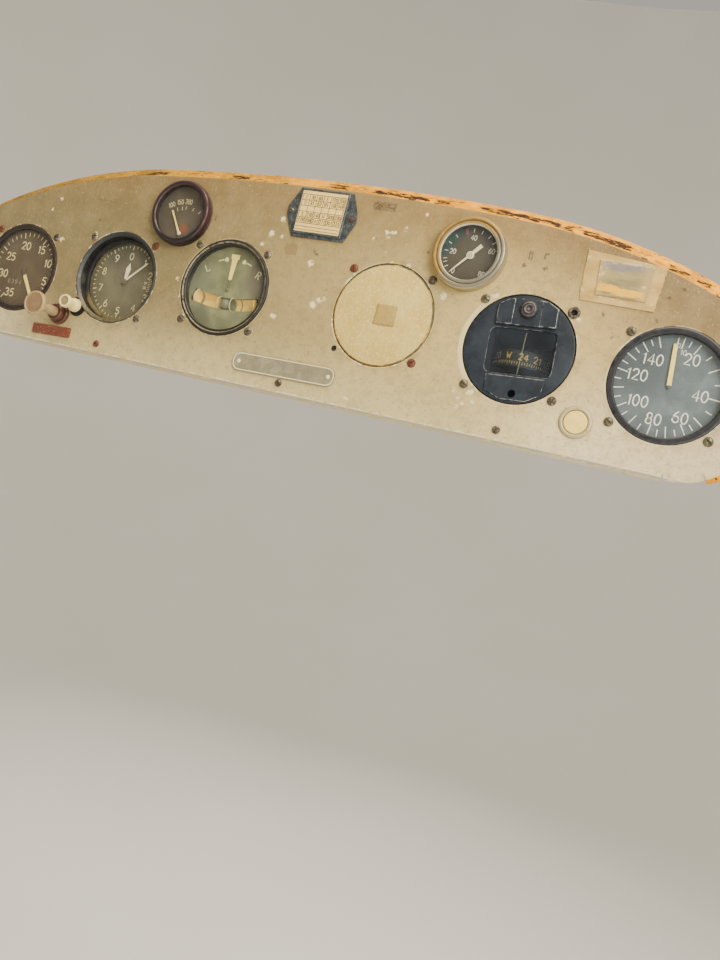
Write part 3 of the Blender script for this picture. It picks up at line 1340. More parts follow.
def airspeed_scale():
    y = AIRSPEED_DIAL_Y
    shapes = []
    for text, at in AIRSPEED_NUMBERS.items():
        shapes += figure(text, 7.3, at, 0.85, y, narrow=0.91)
    shapes += figure("0", 2.8, (0, 28.6), 0.35, y) + figure("10", 3.2, (3.7, 24.4), 0.4, y)
    for value, angle in AIRSPEED_ANGLES.items():
        inner, outer = (27, 34.3) if value % 10 == 0 else (29.5, 33.5)
        shapes.append(tick(angle, inner, outer, 0.7, y, (AIRSPEED_OFFSET, 0)))
    return shapes


printed("airspeed_scale", AIRSPEED, WHITE_PRINT, airspeed_scale())
print("scales printed:", 3)

# %% [markdown]
# ## Hands
#
# A hand is stamped from thin sheet and painted, and some are cream only over part of their
# length, so that the dark rest vanishes against the dial. A table gives the distance from the
# pivot, half the width there and the paint that follows. Hands are drawn straight up and then
# turned to the photograph's angle about the same pivot as the joint, so that they keep their
# place when it moves.

# %% Blade, hub and paint


def blade(stations, front, rear):
    """A flat hand from (distance out, half its width, paint of the stretch that follows)."""
    parts = []
    for number, (start, end) in enumerate(zip(stations, stations[1:])):
        corners = [(-start[1], start[0]), (start[1], start[0]), (end[1], end[0]),
            (-end[1], end[0])]
        points = [(x, y, z) for y in (front, rear) for x, z in corners]
        faces = [(0, 1, 2, 3), (4, 5, 6, 7), (1, 2, 6, 5), (0, 3, 7, 4)]
        if number == 0:
            faces.append((0, 1, 5, 4))
        if number == len(stations) - 2:
            faces.append((2, 3, 7, 6))
        parts.append((start[2], (points, faces)))
    return parts


def hub(radius, front, rear, pivot):
    profile = softened([(AXIS, front - 0.25), (0.7 * radius, front - 0.25, 0.3),
        (radius, front + 0.1, 0.3), (radius, rear), (AXIS, rear)])
    return turned(profile, pivot, 32)


def hand(name, body, node, pivot, angle, stations, hub_radius, hub_material, set_back=0.0):
    front, rear = reach(node)[0].y, reach(node)[1].y
    shapes = [(material, placed(shape, pivot, angle))
        for material, shape in blade(stations, front + set_back, front + set_back + 0.5)]
    shapes.append((hub_material, hub(hub_radius, front, rear, pivot)))
    return piece(name, shapes, body, [node], edge=0.12)


LUME = dial_print("lume_cream", "ffea84", "c8a650")
HAND_WHITE = dial_print("hand_white", "ece2bc", "a9a084")
HUB_BROWN = dial_print("hub_brown", "4c3f2e", "42372a")
HUB_SLATE = dial_print("hub_slate", "525c5f", "49504f")
HUB_OLIVE = dial_print("hub_olive", "57533e", "4a4636")
HUB_GREEN = dial_print("hub_green", "6b6e4c", "5f6249")

hand("tachometer_pointer", "tachometer_hand", "tachometer_hand", TACHOMETER, 146,
    [(-2, 1.2, HUB_BROWN), (6.7, 1.6, LUME), (27, 1.4, LUME), (28.2, 0, LUME)], 2.6, HUB_BROWN)
hand("airspeed_pointer", "airspeed_hand", "airspeed_indicator_hand", AIRSPEED, -4,
    [(-1, 1, HUB_SLATE), (0.8, 1.5, LUME), (29.2, 1.35, LUME)], 1.3, HUB_SLATE)
hand("altimeter_short_pointer", "altimeter_short_hand", "altimeter_short_hand", ALTIMETER, 4.6,
    [(-1, 1.1, HUB_OLIVE), (2.8, 1.2, HAND_WHITE), (6, 1.5, HAND_WHITE), (12, 2.3, HAND_WHITE),
    (17.2, 0, HAND_WHITE)], 2.4, HUB_OLIVE)
hand("altimeter_long_pointer", "altimeter_long_hand", "altimeter_long_hand", ALTIMETER, 46,
    [(-1, 0.8, HUB_OLIVE), (3, 0.85, HAND_WHITE), (26.2, 0.6, HAND_WHITE),
    (27.8, 0, HAND_WHITE)], 2.2, HUB_OLIVE)
hand("turn_pointer", "turn_needle", "turn_indicator_needle", TURN, 0,
    [(2, 0.3, HUB_GREEN), (7.9, 0.3, LUME), (8.6, 1.5, LUME), (22, 2.2, LUME), (25.2, 2.5, LUME),
    (25.8, 3.6, LUME), (29.4, 3.7, LUME)], 1.3, HUB_GREEN, 0.6)

# %% [markdown]
# ## The turn indicator's marks and its slip tube
#
# Below the needle a bent glass tube holds a dark ball in liquid, and two wires mark where it
# rests. The tube is a circle swept along a wide arc. Its back is a painted half pipe, warm
# amber outside the wires, which is what shows through the liquid. The ball rides on its own
# body and rolls along the arc.

# %% Marks on the turn indicator
TURN_DIAL_Y = reach("turn_indicator_dial")[0].y


def turn_marks():
    y = TURN_DIAL_Y
    shapes = []
    for side in (-1, 1):
        at = side * 8.2 + 0.5
        house = [(at - 1.7, 22.9), (at + 1.7, 22.9), (at + 1.7, 25.2), (at, 26.8),
            (at - 1.7, 25.2)]
        shapes.append(slab(house, y - PRINT_DEPTH, y - 0.01))
        shapes.append(inked([(side * 10.9 + 0.5, 23.9), (side * 15.2 + 0.5, 22.4)], 1, y))
    shapes += figure("L", 5.6, (-23.4, 15.2), 0.85, y, -36)
    shapes += figure("R", 5.8, (24.2, 15.6), 0.85, y, 24)
    return shapes


printed("turn_indicator_marks", TURN, CREAM_PRINT, turn_marks())

# %% The slip tube
SLIP = {"bend": 118, "half": 14, "outer": 5.9, "inner": 5.2, "ball": 4.7, "low": -11.6}
SLIP_Y = (reach("turn_indicator_slip_tube")[0].y + reach("turn_indicator_slip_tube")[1].y) / 2


def along_slip(radii, start, end, first=0, last=360, around=24):
    """Rings about the slip arc: (radius, share of the way) pairs give the ends their shape."""
    rings = []
    centre_z = TURN[1] + SLIP["low"] + SLIP["bend"]
    spans = around if last == 360 else around - 1
    for radius, share in radii:
        angle = math.radians(180 - (start + (end - start) * share))
        out = Vector((math.sin(angle), 0, math.cos(angle)))
        heart = Vector((TURN[0], SLIP_Y, centre_z)) + out * SLIP["bend"]
        ring = []
        for i in range(around):
            turn = math.radians(first + (last - first) * i / spans)
            ring.append(tuple(heart + out * radius * math.cos(turn)
                + Vector((0, 1, 0)) * radius * math.sin(turn)))
        rings.append(ring)
    return rings


def evenly(radius, steps, low=0.0, high=1.0):
    """Rings of one radius, spread evenly from one share of the way to another."""
    return [(radius, low + (high - low) * i / steps) for i in range(steps + 1)]


def slip_tube():
    half, outer = SLIP["half"], SLIP["outer"]
    skin = [(0.01, 0), (outer - 0.6, 0), (outer, 0.012), *evenly(outer, 36, 0.02, 0.98),
        (outer, 0.988), (outer - 0.6, 1), (0.01, 1)]
    return piece("slip_glass", [(TUBE_GLASS, loft(along_slip(skin, -half, half)))],
        stands_for=["turn_indicator_slip_tube"])


def slip_liner_paint():
    f = Finish("slip_liner_paint", roughness=0.45)
    along_x = f.along("X")
    haze = f.patches(0.3, 0.7, 6, 4, 0.6)
    amber = f.blend(haze, "ffd650", "ffe67c")
    middle_green = f.blend(haze, "676b48", "7c7f58")
    f.ground(f.near(along_x, TURN[0] + 0.6, 6.6, 1.6), amber, middle_green)
    f.coat(f.near(along_x, TURN[0] + 13, 0.35, 0.6), "8c6a34")
    f.coat(f.near(along_x, TURN[0] - 24.2, 1, 0.7), "8d8358")
    return f.done(f.step(haze, 0, 1, 0.4, 0.6))


def slip_liner():
    """A half pipe behind the ball: an outer and an inner skin joined along their edges."""
    half, inner, steps, across = SLIP["half"] - 0.4, SLIP["inner"], 40, 16
    skins = []
    for radius in (inner - 0.05, inner - 0.25):
        for row in along_slip(evenly(radius, steps), -half, half, 0, 180, across):
            skins += row
    plug = [(0.01, 0), (inner - 0.3, 0), (inner - 0.3, 1), (0.01, 1)]
    plugs = [loft(along_slip(plug, end - 0.15, end + 0.15)) for end in (-half, half)]
    paint_work = slip_liner_paint()
    return piece("slip_liner", [(paint_work, shape)
        for shape in [thin_sheet(skins, steps + 1, across), *plugs]])


def slip_wire(name, x, material, width=0.35):
    """A thin hoop round the tube."""
    lean = math.degrees(math.asin(x / SLIP["bend"]))
    spread = math.degrees(width / SLIP["bend"]) / 2
    outer = SLIP["outer"] + 0.25
    section = [(outer - 0.3, 0), (outer, 0.1), (outer, 0.9), (outer - 0.3, 1),
        (outer - 0.3, 0)]
    return piece(name, [(material, loft(along_slip(section, lean - spread, lean + spread)))])


slip_tube()
slip_liner()
slip_wire("slip_wire_left", -4.4, CREAM_PRINT)
slip_wire("slip_wire_right", 7.2, CREAM_PRINT)
slip_wire("slip_end_ring", -26.6, dial_print("end_cream", "e8c89a", "b08f64"), 0.8)


def slip_ball():
    radius = SLIP["ball"]
    profile = [(max(radius * math.sin(math.radians(a)), AXIS),
        SLIP_Y - radius * math.cos(math.radians(a))) for a in range(0, 181, 9)]
    f = Finish("ball_glass", roughness=0.4)
    f.ground(f.patches(0.3, 0.7, 6, 3), "555a42", "686d50")
    shape = turned(profile, (TURN[0], TURN[1] + SLIP["low"]), 40)
    return piece("slip_ball_glass", [(f.done(), shape)], "slip_ball",
        ["turn_indicator_slip_ball"])


print("slip ball radius", round(max(slip_ball().dimensions) / 2 / MM, 2))

# %% [markdown]
# ## The two small gauges
#
# These stand proud of the panel in deep turned bezels, one in purple-brown lacquer and one in
# a gold tone worn to bare metal. A ring with steps is all profile, so the lathe does it.
# Behind the panel a strap pulls each against the sheet.

# %% Bezel finishes of the small gauges


def plum_lacquer():
    f = Finish("plum_lacquer", gloss=0.5, Coat_Weight=0.15, Coat_Roughness=0.25)
    patch = f.mottle(6, 5, 0.65)
    low = f.step(f.along("Z"), OIL_TEMPERATURE[1] - 22, OIL_TEMPERATURE[1] - 3, 0.9, 0)
    edge = f.step(f.off_ring(OIL_TEMPERATURE, 25.9), 0.1, 0.8, 1, 0)
    f.ground(f.step(patch, 0.35, 0.65), "2e171b", "211318")
    f.coat(f.both(edge, f.step(patch, 0.4, 0.7, 0.1, 0.7)), "7e4c54")
    f.coat(low, "120d14")
    f.dents(f.mottle(0.9, 3), 0.04)
    return f.done(f.step(patch, 0.3, 0.7, 0.28, 0.45))


def gold_lacquer():
    f = Finish("gold_lacquer")
    patch = f.mottle(7, 4, shift=(4, 0, 4))
    low_right = f.step(f.minus(f.along("X"), f.along("Z")), -30, 25)
    worn = f.step(f.plus(f.both(patch, 0.5), f.both(low_right, 0.5)), 0.4, 0.66)
    away = f.circles([(*OIL_PRESSURE, 0)])
    seams = f.either(f.near(away, 23.3, 0.15, 0.35), f.near(away, 26, 0.05, 0.3))
    f.ground(f.step(patch, 0.3, 0.7), "a4874e", "b6995c")
    f.coat(worn, "b8b3a2")
    f.coat(f.both(seams, 0.7), "4c3a1e")
    f.coat(f.near(away, 20.6, 0.15, 0.3), "e4dfce")
    f.dents(f.both(f.mottle(1, 3), 0.5), 0.05)
    return f.done(f.step(worn, 0, 1, 0.42, 0.3), f.step(worn, 0, 1, 0.55, 0.9))


PROUD = FACE - 8
SMALL_SEAT = -13.5
PLUM_PROFILE = [(22.4, SMALL_SEAT), *from_level(PROUD,
    [(22.4, 1.4, 0.3), (23.2, 0.3, 0.4), (24.4, 0, 0.6), (26.3, 0.8, 0.8), (27, 2.6, 0.8),
    (27, 5, 0.4), (26.4, 5.6, 0.3), (26.4, 7.4, 0.3), (27, 7.7), (26.2, 7.7)]),
    (26.2, SMALL_SEAT)]
GOLD_PROFILE = [(20.4, SMALL_SEAT), *from_level(PROUD,
    [(20.4, 1.5, 0.2), (21, 0.5, 0.3), (22.5, 0.4, 0.3), (22.9, 1.3, 0.2), (23.7, 1.3, 0.2),
    (24.2, 0.1, 0.4), (25.9, 0.5, 0.6), (27, 2.2, 0.8), (27, 7.7), (26.2, 7.7)]),
    (26.2, SMALL_SEAT)]
ring_piece("oil_temperature_rim", PLUM_PROFILE, OIL_TEMPERATURE, plum_lacquer(),
    "oil_temperature_bezel")
ring_piece("oil_pressure_rim", GOLD_PROFILE, OIL_PRESSURE, gold_lacquer(), "oil_pressure_bezel")

# %% Cases, glasses and straps of the small gauges
SMALL_CASE = 25.9


def small_case(name, at, node):
    rear = rear_of(node) - 12
    body = softened([(AXIS, -6.4), (25, -6.4), (25, -11.5), (SMALL_CASE, -11.5),
        (SMALL_CASE, 4, 0.4), (SMALL_CASE - 0.6, 4.6, 0.4), (SMALL_CASE - 0.6, rear, 1.6),
        (AXIS, rear)])
    nut = turned([(AXIS, rear + 2.1), (6, rear + 2.1), (6, rear + 8), (AXIS, rear + 8)], at, 6)
    stem = softened([(AXIS, rear - 0.5), (2.7, rear - 0.5), (2.7, rear + 11.6, 0.4),
        (AXIS, rear + 12)])
    piece(f"{name}_shell", [(CRACKLE_BLACK, turned(body, at)), (BRASS, nut),
        (BRASS, turned(stem, at, 28))], stands_for=[node], edge=0.25)


for label, at in (("oil_temperature", OIL_TEMPERATURE), ("oil_pressure", OIL_PRESSURE)):
    small_case(label, at, f"{label}_case")
    glass_disc(f"{label}_pane", at, reach(f"{label}_glass")[0].y, 25.6, 1.4, f"{label}_glass")
    dress(f"{label}_strap", ZINC_PLATE, 0.4)

# %% The small gauges' scales and hands
SMALL_DIAL_Y = reach("oil_pressure_dial")[0].y
PRESSURE_NUMBERS = {"20": (-13.6, 1.6), "40": (-0.6, 13.4), "60": (14.6, 5.2), "0": (-10, -12.7),
    "80": (11.3, -12.3)}
PRESSURE_TICKS = [275, 294, 314, 355, 14.5, 35, 53, 72, 257, 249, 238]
TEMPERATURE_NUMBERS = {"100": (-14.4, 7.2, -26), "150": (-6.9, 10.4, -10), "200": (1.2, 11.6, 0)}
TEMPERATURE_TICKS = [(-7.9, 4.2), (-3.5, 5.3), (0, 6.2), (7.1, 5.5), (13.7, 3.7)]


def pressure_scale():
    y = SMALL_DIAL_Y
    shapes = []
    for text, at in PRESSURE_NUMBERS.items():
        shapes += figure(text, 3.6, at, 0.45, y, narrow=0.85)
    return shapes + [tick(angle, 17.4, 19.9, 0.45, y) for angle in PRESSURE_TICKS]


def temperature_scale():
    y = SMALL_DIAL_Y
    shapes = []
    for text, (x, z, turn) in TEMPERATURE_NUMBERS.items():
        shapes += figure(text, 4, (x, z), 0.36, y, turn, 0.72)
    for x, z in TEMPERATURE_TICKS:
        lean = math.atan2(x, z + 17)
        line = [(x + half * math.sin(lean), z + half * math.cos(lean)) for half in (-1.3, 1.3)]
        shapes.append(inked(line, 0.42, y))
    return shapes


printed("oil_pressure_scale", OIL_PRESSURE, WHITE_PRINT, pressure_scale())
printed("oil_temperature_scale", OIL_TEMPERATURE, CREAM_PRINT, temperature_scale())
RED_PRINT = dial_print("red_print", "834354", "63323f")
ORANGE_PRINT = dial_print("orange_print", "c26a34", "94532c")
printed("oil_pressure_red_mark", OIL_PRESSURE, RED_PRINT,
    [tick(339, 17.2, 20.2, 2.1, SMALL_DIAL_Y), tick(340, 15.2, 17.3, 0.6, SMALL_DIAL_Y)])
limit_line = stroke(arc(0, 0, 19.6, 96, 150, 16), 0.5, SMALL_DIAL_Y - PRINT_DEPTH, SMALL_DIAL_Y)
printed("oil_pressure_limit_arc", OIL_PRESSURE, ORANGE_PRINT, [limit_line])
OIL_PIVOT = (OIL_TEMPERATURE[0], OIL_TEMPERATURE[1] - 16)
HUB_FACE = reach("oil_pressure_hand")[0].y - 0.25
hand("oil_temperature_pointer", "oil_temperature_hand", "oil_temperature_hand", OIL_PIVOT, -32,
    [(-1, 0.8, LUME), (3, 0.9, LUME), (12, 0.6, LUME), (21.5, 0.75, LUME), (22, 0, LUME)], 1.7,
    HAND_WHITE)
hand("oil_pressure_pointer", "oil_pressure_hand", "oil_pressure_hand", OIL_PRESSURE, -139,
    [(-10.6, 1.5, HAND_WHITE), (-3, 1.3, HAND_WHITE), (3, 0.8, HAND_WHITE),
    (18.2, 0.3, HAND_WHITE), (19.2, 0, HAND_WHITE)], 2.85, HAND_WHITE)
printed("oil_pressure_hub_ring", OIL_PRESSURE, HUB_SLATE,
    [stroke(bow(0, 0, radius, radius, 0, 360, 24), 0.4, HUB_FACE - 0.05, HUB_FACE + 0.1)
    for radius in (0.4, 1.5)], "oil_pressure_hand")

# %% [markdown]
# ## The compass
#
# The compass is the only instrument whose front is a casting: a navy disc with a window, a
# raised lamp block above it and a plate below that covers the adjusters. The window and the
# bowl behind it are cut out with Booleans, because the bowl is an upright drum while all else
# here is turned about Y. Handling has worn the plates' edges to white, so each plate has a
# narrow bevel of its own with a worn finish.

# %% Navy casting and its worn edges
COMPASS_TILT = -4
WINDOW = {"half": 23.5, "height": 32.5, "corner": 5, "x": 1.8, "z": -2}
LAMP_AT = (3, 28)
LAMP_BLOCK = [(-18.8, 16.6), (23.6, 16.6), (23.4, 30.4), (15.5, 35.2), (-10.5, 35.8), (-18.8, 31)]
LEFT_PLATE = [(-18.4, 17), (-7.6, 17), (-7.4, 35.2), (-10.8, 35.2), (-18.4, 31)]
RIGHT_PLATE = [(11.8, 17), (23.2, 17), (23, 30.2), (15.8, 34.6), (11.6, 34.8)]
LOWER_PLATE = [(-19, -31), (-7, -36.5), (11, -36.5), (20.6, -31), (22.2, -19.8), (-19.3, -19.8)]


def navy_paint(name, edge_wear):
    """Dusty navy enamel. `edge_wear` is the share that has gone white."""
    f = Finish(name, gloss=0.35)
    cloud = f.patches(0.35, 0.7, 18, 4, 0.65)
    dust = f.patches(0.5, 0.8, 5, 6, 0.75)
    rub = f.patches(0.66, 0.76, 1.3, 5, 0.7)
    f.ground(cloud, "1a222d", "2a323d")
    f.coat(f.both(dust, 0.35), "4c545e")
    f.coat(f.both(rub, 0.3), "6d7580")
    worn = f.step(f.mottle(3.5, 4, 0.6), 0.66 - 0.4 * edge_wear, 0.76 - 0.4 * edge_wear)
    if edge_wear:
        f.coat(worn, "999d9b")
    f.dents(f.both(dust, 0.5), 0.04)
    return f.done(f.step(dust, 0, 1, 0.48, 0.75))


NAVY = navy_paint("navy_enamel", 0)
NAVY_WORN = navy_paint("navy_worn_edge", 0.6)
NAVY_SCUFFED = navy_paint("navy_scuffed_edge", 0.3)


def inset(outline, by):
    """A convex outline drawn in by the same amount along every side."""
    count = len(outline)
    middle_point = sum((Vector(point) for point in outline), Vector((0, 0))) / count
    drawn = []
    for i in range(count):
        here = Vector(outline[i])
        back = (here - Vector(outline[i - 1])).normalized()
        ahead = (Vector(outline[(i + 1) % count]) - here).normalized()
        half = (back - ahead).normalized()
        if half.dot(middle_point - here) < 0:
            half = -half
        sine = abs(back.x * half.y - back.y * half.x)
        drawn.append(tuple(here + half * by / max(sine, 0.3)))
    return drawn


def raised_plate(outline, front, rear, face, edge):
    """A plate whose bevelled rim carries its own finish, as (material, shape) pairs."""
    rings = [[(x, front, z) for x, z in inset(outline, 0.3)],
        [(x, front + 0.25, z) for x, z in outline], [(x, rear, z) for x, z in outline]]
    count = len(outline)
    points = [point for ring in rings for point in ring]
    bands = loft(rings)[1]
    top, bottom = tuple(range(count)), tuple(range(2 * count, 3 * count))
    return [(face, (points, [top, bottom, *bands[count:]])), (edge, (points, bands[:count]))]


# %% The compass casting
COMPASS_RADIUS = 38.8
COMPASS_FRONT = FACE + 0.6
COMPASS_REAR = reach("compass_case")[1].y
BOWL_Y = (reach("compass_card")[0].y + reach("compass_card")[1].y) / 2
BOWL_RADIUS = 23.4
COINCIDENCE = 0.06


def rounded_rectangle(half, height, corner, at=(0, 0)):
    left, right = at[0] - half, at[0] + half
    low, high = at[1] - height / 2, at[1] + height / 2
    return rounded_outline([(left, low), (right, low), (right, high), (left, high)], corner, 6)


def window_outline(extra=0.0):
    """The window's outline, wider by so many mm all round."""
    return rounded_rectangle(WINDOW["half"] + extra, WINDOW["height"] + 2 * extra,
        WINDOW["corner"] + extra, (WINDOW["x"], WINDOW["z"]))


def compass_casting():
    body = softened([(AXIS, COMPASS_FRONT), (COMPASS_RADIUS, COMPASS_FRONT, 0.8),
        (COMPASS_RADIUS, COMPASS_REAR - 3, 2), (COMPASS_RADIUS - 4, COMPASS_REAR, 1),
        (AXIS, COMPASS_REAR)])
    casting = piece("compass_casting", [(NAVY, turned(body, COMPASS, 96))],
        stands_for=["compass_case"])
    opening = placed(slab(window_outline(), FACE - 1, BOWL_Y), COMPASS, COMPASS_TILT)
    half = WINDOW["height"] / 2 + COINCIDENCE
    drum = [[(x, y + BOWL_Y, level) for x, y in circle(0, 0, BOWL_RADIUS, 72)]
        for level in (WINDOW["z"] - half, WINDOW["z"] + half)]
    points, faces = loft(drum)
    faces += [tuple(range(72)), tuple(range(72, 144))]
    bowl = placed((points, faces), COMPASS, COMPASS_TILT)
    return carve(casting, [piece("window_cutter", [(DEEP_BLACK, opening)]),
        piece("bowl_cutter", [(DEEP_BLACK, bowl)])])


def on_compass(pairs):
    return [(material, placed(shape, COMPASS, COMPASS_TILT)) for material, shape in pairs]


casting = compass_casting()
seat = COMPASS_FRONT - 0.02
piece("compass_flange", [(CRACKLE_BLACK,
    placed(slab(flange_outline(), FLANGE_FRONT, FLANGE_REAR,
    [circle(0, 0, COMPASS_RADIUS + 0.05, 96)]), COMPASS))])
piece("compass_lamp_block", on_compass(raised_plate(LAMP_BLOCK, FACE - 1.3, seat, NAVY,
    NAVY_SCUFFED)))
for side, outline in (("left", LEFT_PLATE), ("right", RIGHT_PLATE)):
    piece(f"compass_{side}_plate", on_compass(raised_plate(outline, FACE - 1.7, FACE - 1.3, NAVY,
        NAVY_WORN)))
adjuster_plate = piece("compass_adjuster_plate",
    on_compass(raised_plate(LOWER_PLATE, FACE - 0.5, seat, NAVY, NAVY_WORN)))
for solid in (casting, adjuster_plate):
    bore = turned(from_level(FACE, [(AXIS, -1), (2.8, -1), (2.8, 6), (AXIS, 6)]), (1, -32), 32)
    carve(solid, [piece("adjuster_bore", on_compass([(DEEP_BLACK, bore)]))])
rim = [window_outline(extra) for extra in (0, 0.2, 0.4, 0)]
rim_levels = (seat + 0.3, COMPASS_FRONT - 0.25, seat + 0.1, seat + 0.3)
piece("compass_window_rim", on_compass([(NAVY_WORN,
    loft([[(x, y, z) for x, z in ring] for ring, y in zip(rim, rim_levels)]))]))
print("compass casting faces:", len(casting.data.polygons))

# %% [markdown]
# The card floats in the bowl and turns about a vertical axis, so its figures are drawn flat
# and wrapped round its drum by turning each sideways distance into an angle. They run
# backward, as on every such compass, because the pilot reads the near side. The three by the
# line are still amber; the others have faded to grey-green.

# %% The compass card, its line and window
CARD_RADIUS = 21
CARD_FIGURES = ["N", "3", "6", "E", "12", "15", "S", "21", "24", "W", "30", "33"]
CARD_AT_REST = 249.4
FIGURE_LEVEL, TICK_LEVEL = -2.7, -7.3


def wrapped(lines, width):
    """Bands along lines of (distance round the card, z), bent onto its drum."""
    bands = []
    for line in lines:
        fine = []
        for start, end in zip(line, line[1:]):
            fine += [tuple(Vector(start).lerp(Vector(end), i / 3)) for i in range(3)]
        fine.append(line[-1])
        points, faces = stroke(fine, width, 0.1, 0.01)
        bent = []
        for u, out, z in points:
            angle = u / CARD_RADIUS
            bent.append(((CARD_RADIUS + out) * math.sin(angle),
                -(CARD_RADIUS + out) * math.cos(angle), z))
        bands.append((bent, faces))
    return bands


def card_print():
    bright = dial_print("card_amber", "b2994e", "8c7c46")
    faded = dial_print("card_grey", "84826c")
    parts = []
    for number, text in enumerate(CARD_FIGURES):
        round_card = math.radians(CARD_AT_REST - 30 * number) * CARD_RADIUS
        ink = bright if text in ("W", "24", "21") else faded
        lines = figure_lines(text, 4.6, (round_card, FIGURE_LEVEL))
        parts += [(ink, band) for band in wrapped(lines, 0.65)]
        for step in range(6):
            spot = round_card + math.radians(5 * step) * CARD_RADIUS
            foot = TICK_LEVEL - (1.3 if step % 2 == 0 else 0.8)
            parts += [(bright, band) for band in wrapped([[(spot, foot),
                (spot, TICK_LEVEL + 0.8)]], 0.4)]
    centre = (COMPASS[0], COMPASS[1])
    return piece("compass_card_figures", [(ink, placed(shape, centre, 0, BOWL_Y))
        for ink, shape in parts], "compass_card")


card_print()
dress("compass_card", faded_dial("card_black", COMPASS, "1c2220", "2a2f2c", "4d544e"))
piece("compass_pane", on_compass([(clear_glass("compass_glass", 0.2, "5c6a80", 0.1),
    slab(window_outline(-0.25), FACE + 1.6, FACE + 3.2))]), stands_for=["compass_window"])
piece("compass_lubber_line", [(dial_print("lubber_grey", "9a966e", "807c5e"),
    placed(stroke([(2.6, 13), (2.9, -17.6)], 0.28, FACE + 3.25, FACE + 3.6), COMPASS))])


def ringed_cap():
    f = Finish("ringed_cap", gloss=0.6)
    spot = placed(([(LAMP_AT[0], 0, LAMP_AT[1])], []), COMPASS, COMPASS_TILT)[0][0]
    away = f.circles([(spot[0], spot[2], 0)])
    ridge = f.step(f.maths("SINE", f.both(away, 2.9)), -0.2, 0.7)
    worn = f.patches(0.4, 0.6, 2.2, 4)
    f.ground(f.both(ridge, worn), "17151b", "62545a")
    f.dents(ridge, 0.15)
    return f.done(f.step(ridge, 0, 1, 0.5, 0.35))


cap = softened(from_level(FACE, [(AXIS, -3.6), (2.4, -4, 0.3), (3, -4.4, 0.3), (4.6, -4, 0.6),
    (6, -2.8, 0.6), (6, -1.3), (AXIS, -1.3)]))
piece("compass_cap", on_compass([(ringed_cap(), turned(cap, LAMP_AT, 48))]),
    stands_for=["compass_lamp_cap"])

# %% [markdown]
# ## Controls
#
# Two knobs are worked by hand. The heat control is a faded phenolic mushroom on a tapered
# stem, in a red-brown bushing of two tiers; the small knob at the altimeter's corner sets its
# pressure scale. Both are lathe work, on bodies of their own, so that the pull slides along Y
# and the set knob turns.

# %% Plastics and cream knobs


def old_plastic(name, base, blotch, rough=0.42, grime="4a3a2c"):
    f = Finish(name, gloss=0.55)
    cloud = f.patches(0.35, 0.68, 5, 5, 0.65)
    dirt = f.patches(0.58, 0.74, 1.6, 5, 0.7)
    fine = f.mottle(0.5, 2)
    f.ground(cloud, base, blotch)
    f.coat(f.both(dirt, 0.45), grime)
    f.dents(f.minus(f.both(fine, 0.4), f.both(dirt, 0.5)), 0.06)
    return f.done(f.step(cloud, 0, 1, rough, rough + 0.18))


HEAT_BUFF = old_plastic("heat_buff", "7d6346", "917756")
HEAT_RIM = old_plastic("heat_rim", "9c8458", "b0986a")
STEM_PALE = old_plastic("stem_pale", "8c7653", "a38d66", 0.5)
BUSHING_RED = old_plastic("bushing_red", "42261e", "5a382c", 0.3, "241412")
SET_CREAM = old_plastic("set_cream", "e6d086", "f4e4a8", 0.45, "5c5238")

KNOB_FRONT = FACE - 33
knob_face = softened(from_level(KNOB_FRONT, [(AXIS, 0.6), (7.6, 0.6, 0.3), (8.3, 0.5)]))
knob = softened(from_level(KNOB_FRONT, [(8.3, 0.5), (8.8, 0, 0.4), (9.8, 0.2, 0.4),
    (10.25, 1.2, 0.5), (10.25, 3.2, 0.8), (8.2, 4.6, 0.8), (4.4, 5.8, 1), (3, 9, 1.5)]))
stem = softened([*from_level(KNOB_FRONT, [(3, 9), (3.2, 13, 2), (4.15, 19, 2)]),
    (4.2, 41.6, 0.4), (AXIS, 42)])
piece("heat_mushroom_knob", [(HEAT_BUFF, turned(knob_face, HEAT)), (HEAT_RIM, turned(knob, HEAT)),
    (STEM_PALE, turned(stem, HEAT, 72))], "heat_pull", ["heat_pull"])
bushing = [*from_level(FACE, [(4.5, -8.4), (6.4, -8.4, 0.6), (7.2, -7.6, 0.8), (7.2, -3.4),
    (8.4, -3.4, 0.5), (9, -2.8, 0.6), (9, -0.3), (6, -0.3)]), (6, 66), (4.5, 66),
    (4.5, FACE - 8.4)]
piece("heat_red_bushing", [(BUSHING_RED, turned(softened(bushing), HEAT, 64))],
    stands_for=["heat_bushing"])
dress("heat_rear_nut", ZINC_PLATE, 0.5)
dress("heat_conduit_ferrule", ZINC_PLATE, 0.4)

# %% The set knob and its boss
SET_FRONT = FACE - 17


def set_knob():
    ring = [*from_level(SET_FRONT, [(3.9, 0.5), (4.4, 0, 0.3), (5.2, 0.1, 0.4), (5.5, 0.7, 0.3),
        (5.5, 3.2, 0.6), (4.4, 5, 1), (4.4, 9, 2), (5.7, 12, 1), (5.8, 15, 0.4),
        (2.7, 15.4)]), (2.7, 0), (AXIS, 0)]
    middle_disc = softened(from_level(SET_FRONT, [(AXIS, 0.9), (3, 0.9, 0.3), (3.9, 0.5)]))
    stained = old_plastic("set_centre", "8d7c5b", "a8976f", 0.5, "4b3d2a")
    return piece("set_knob_turned", [(SET_CREAM, turned(softened(ring), SET_KNOB, 48)),
        (stained, turned(middle_disc, SET_KNOB, 48))], "set_knob", ["altimeter_set_knob"])


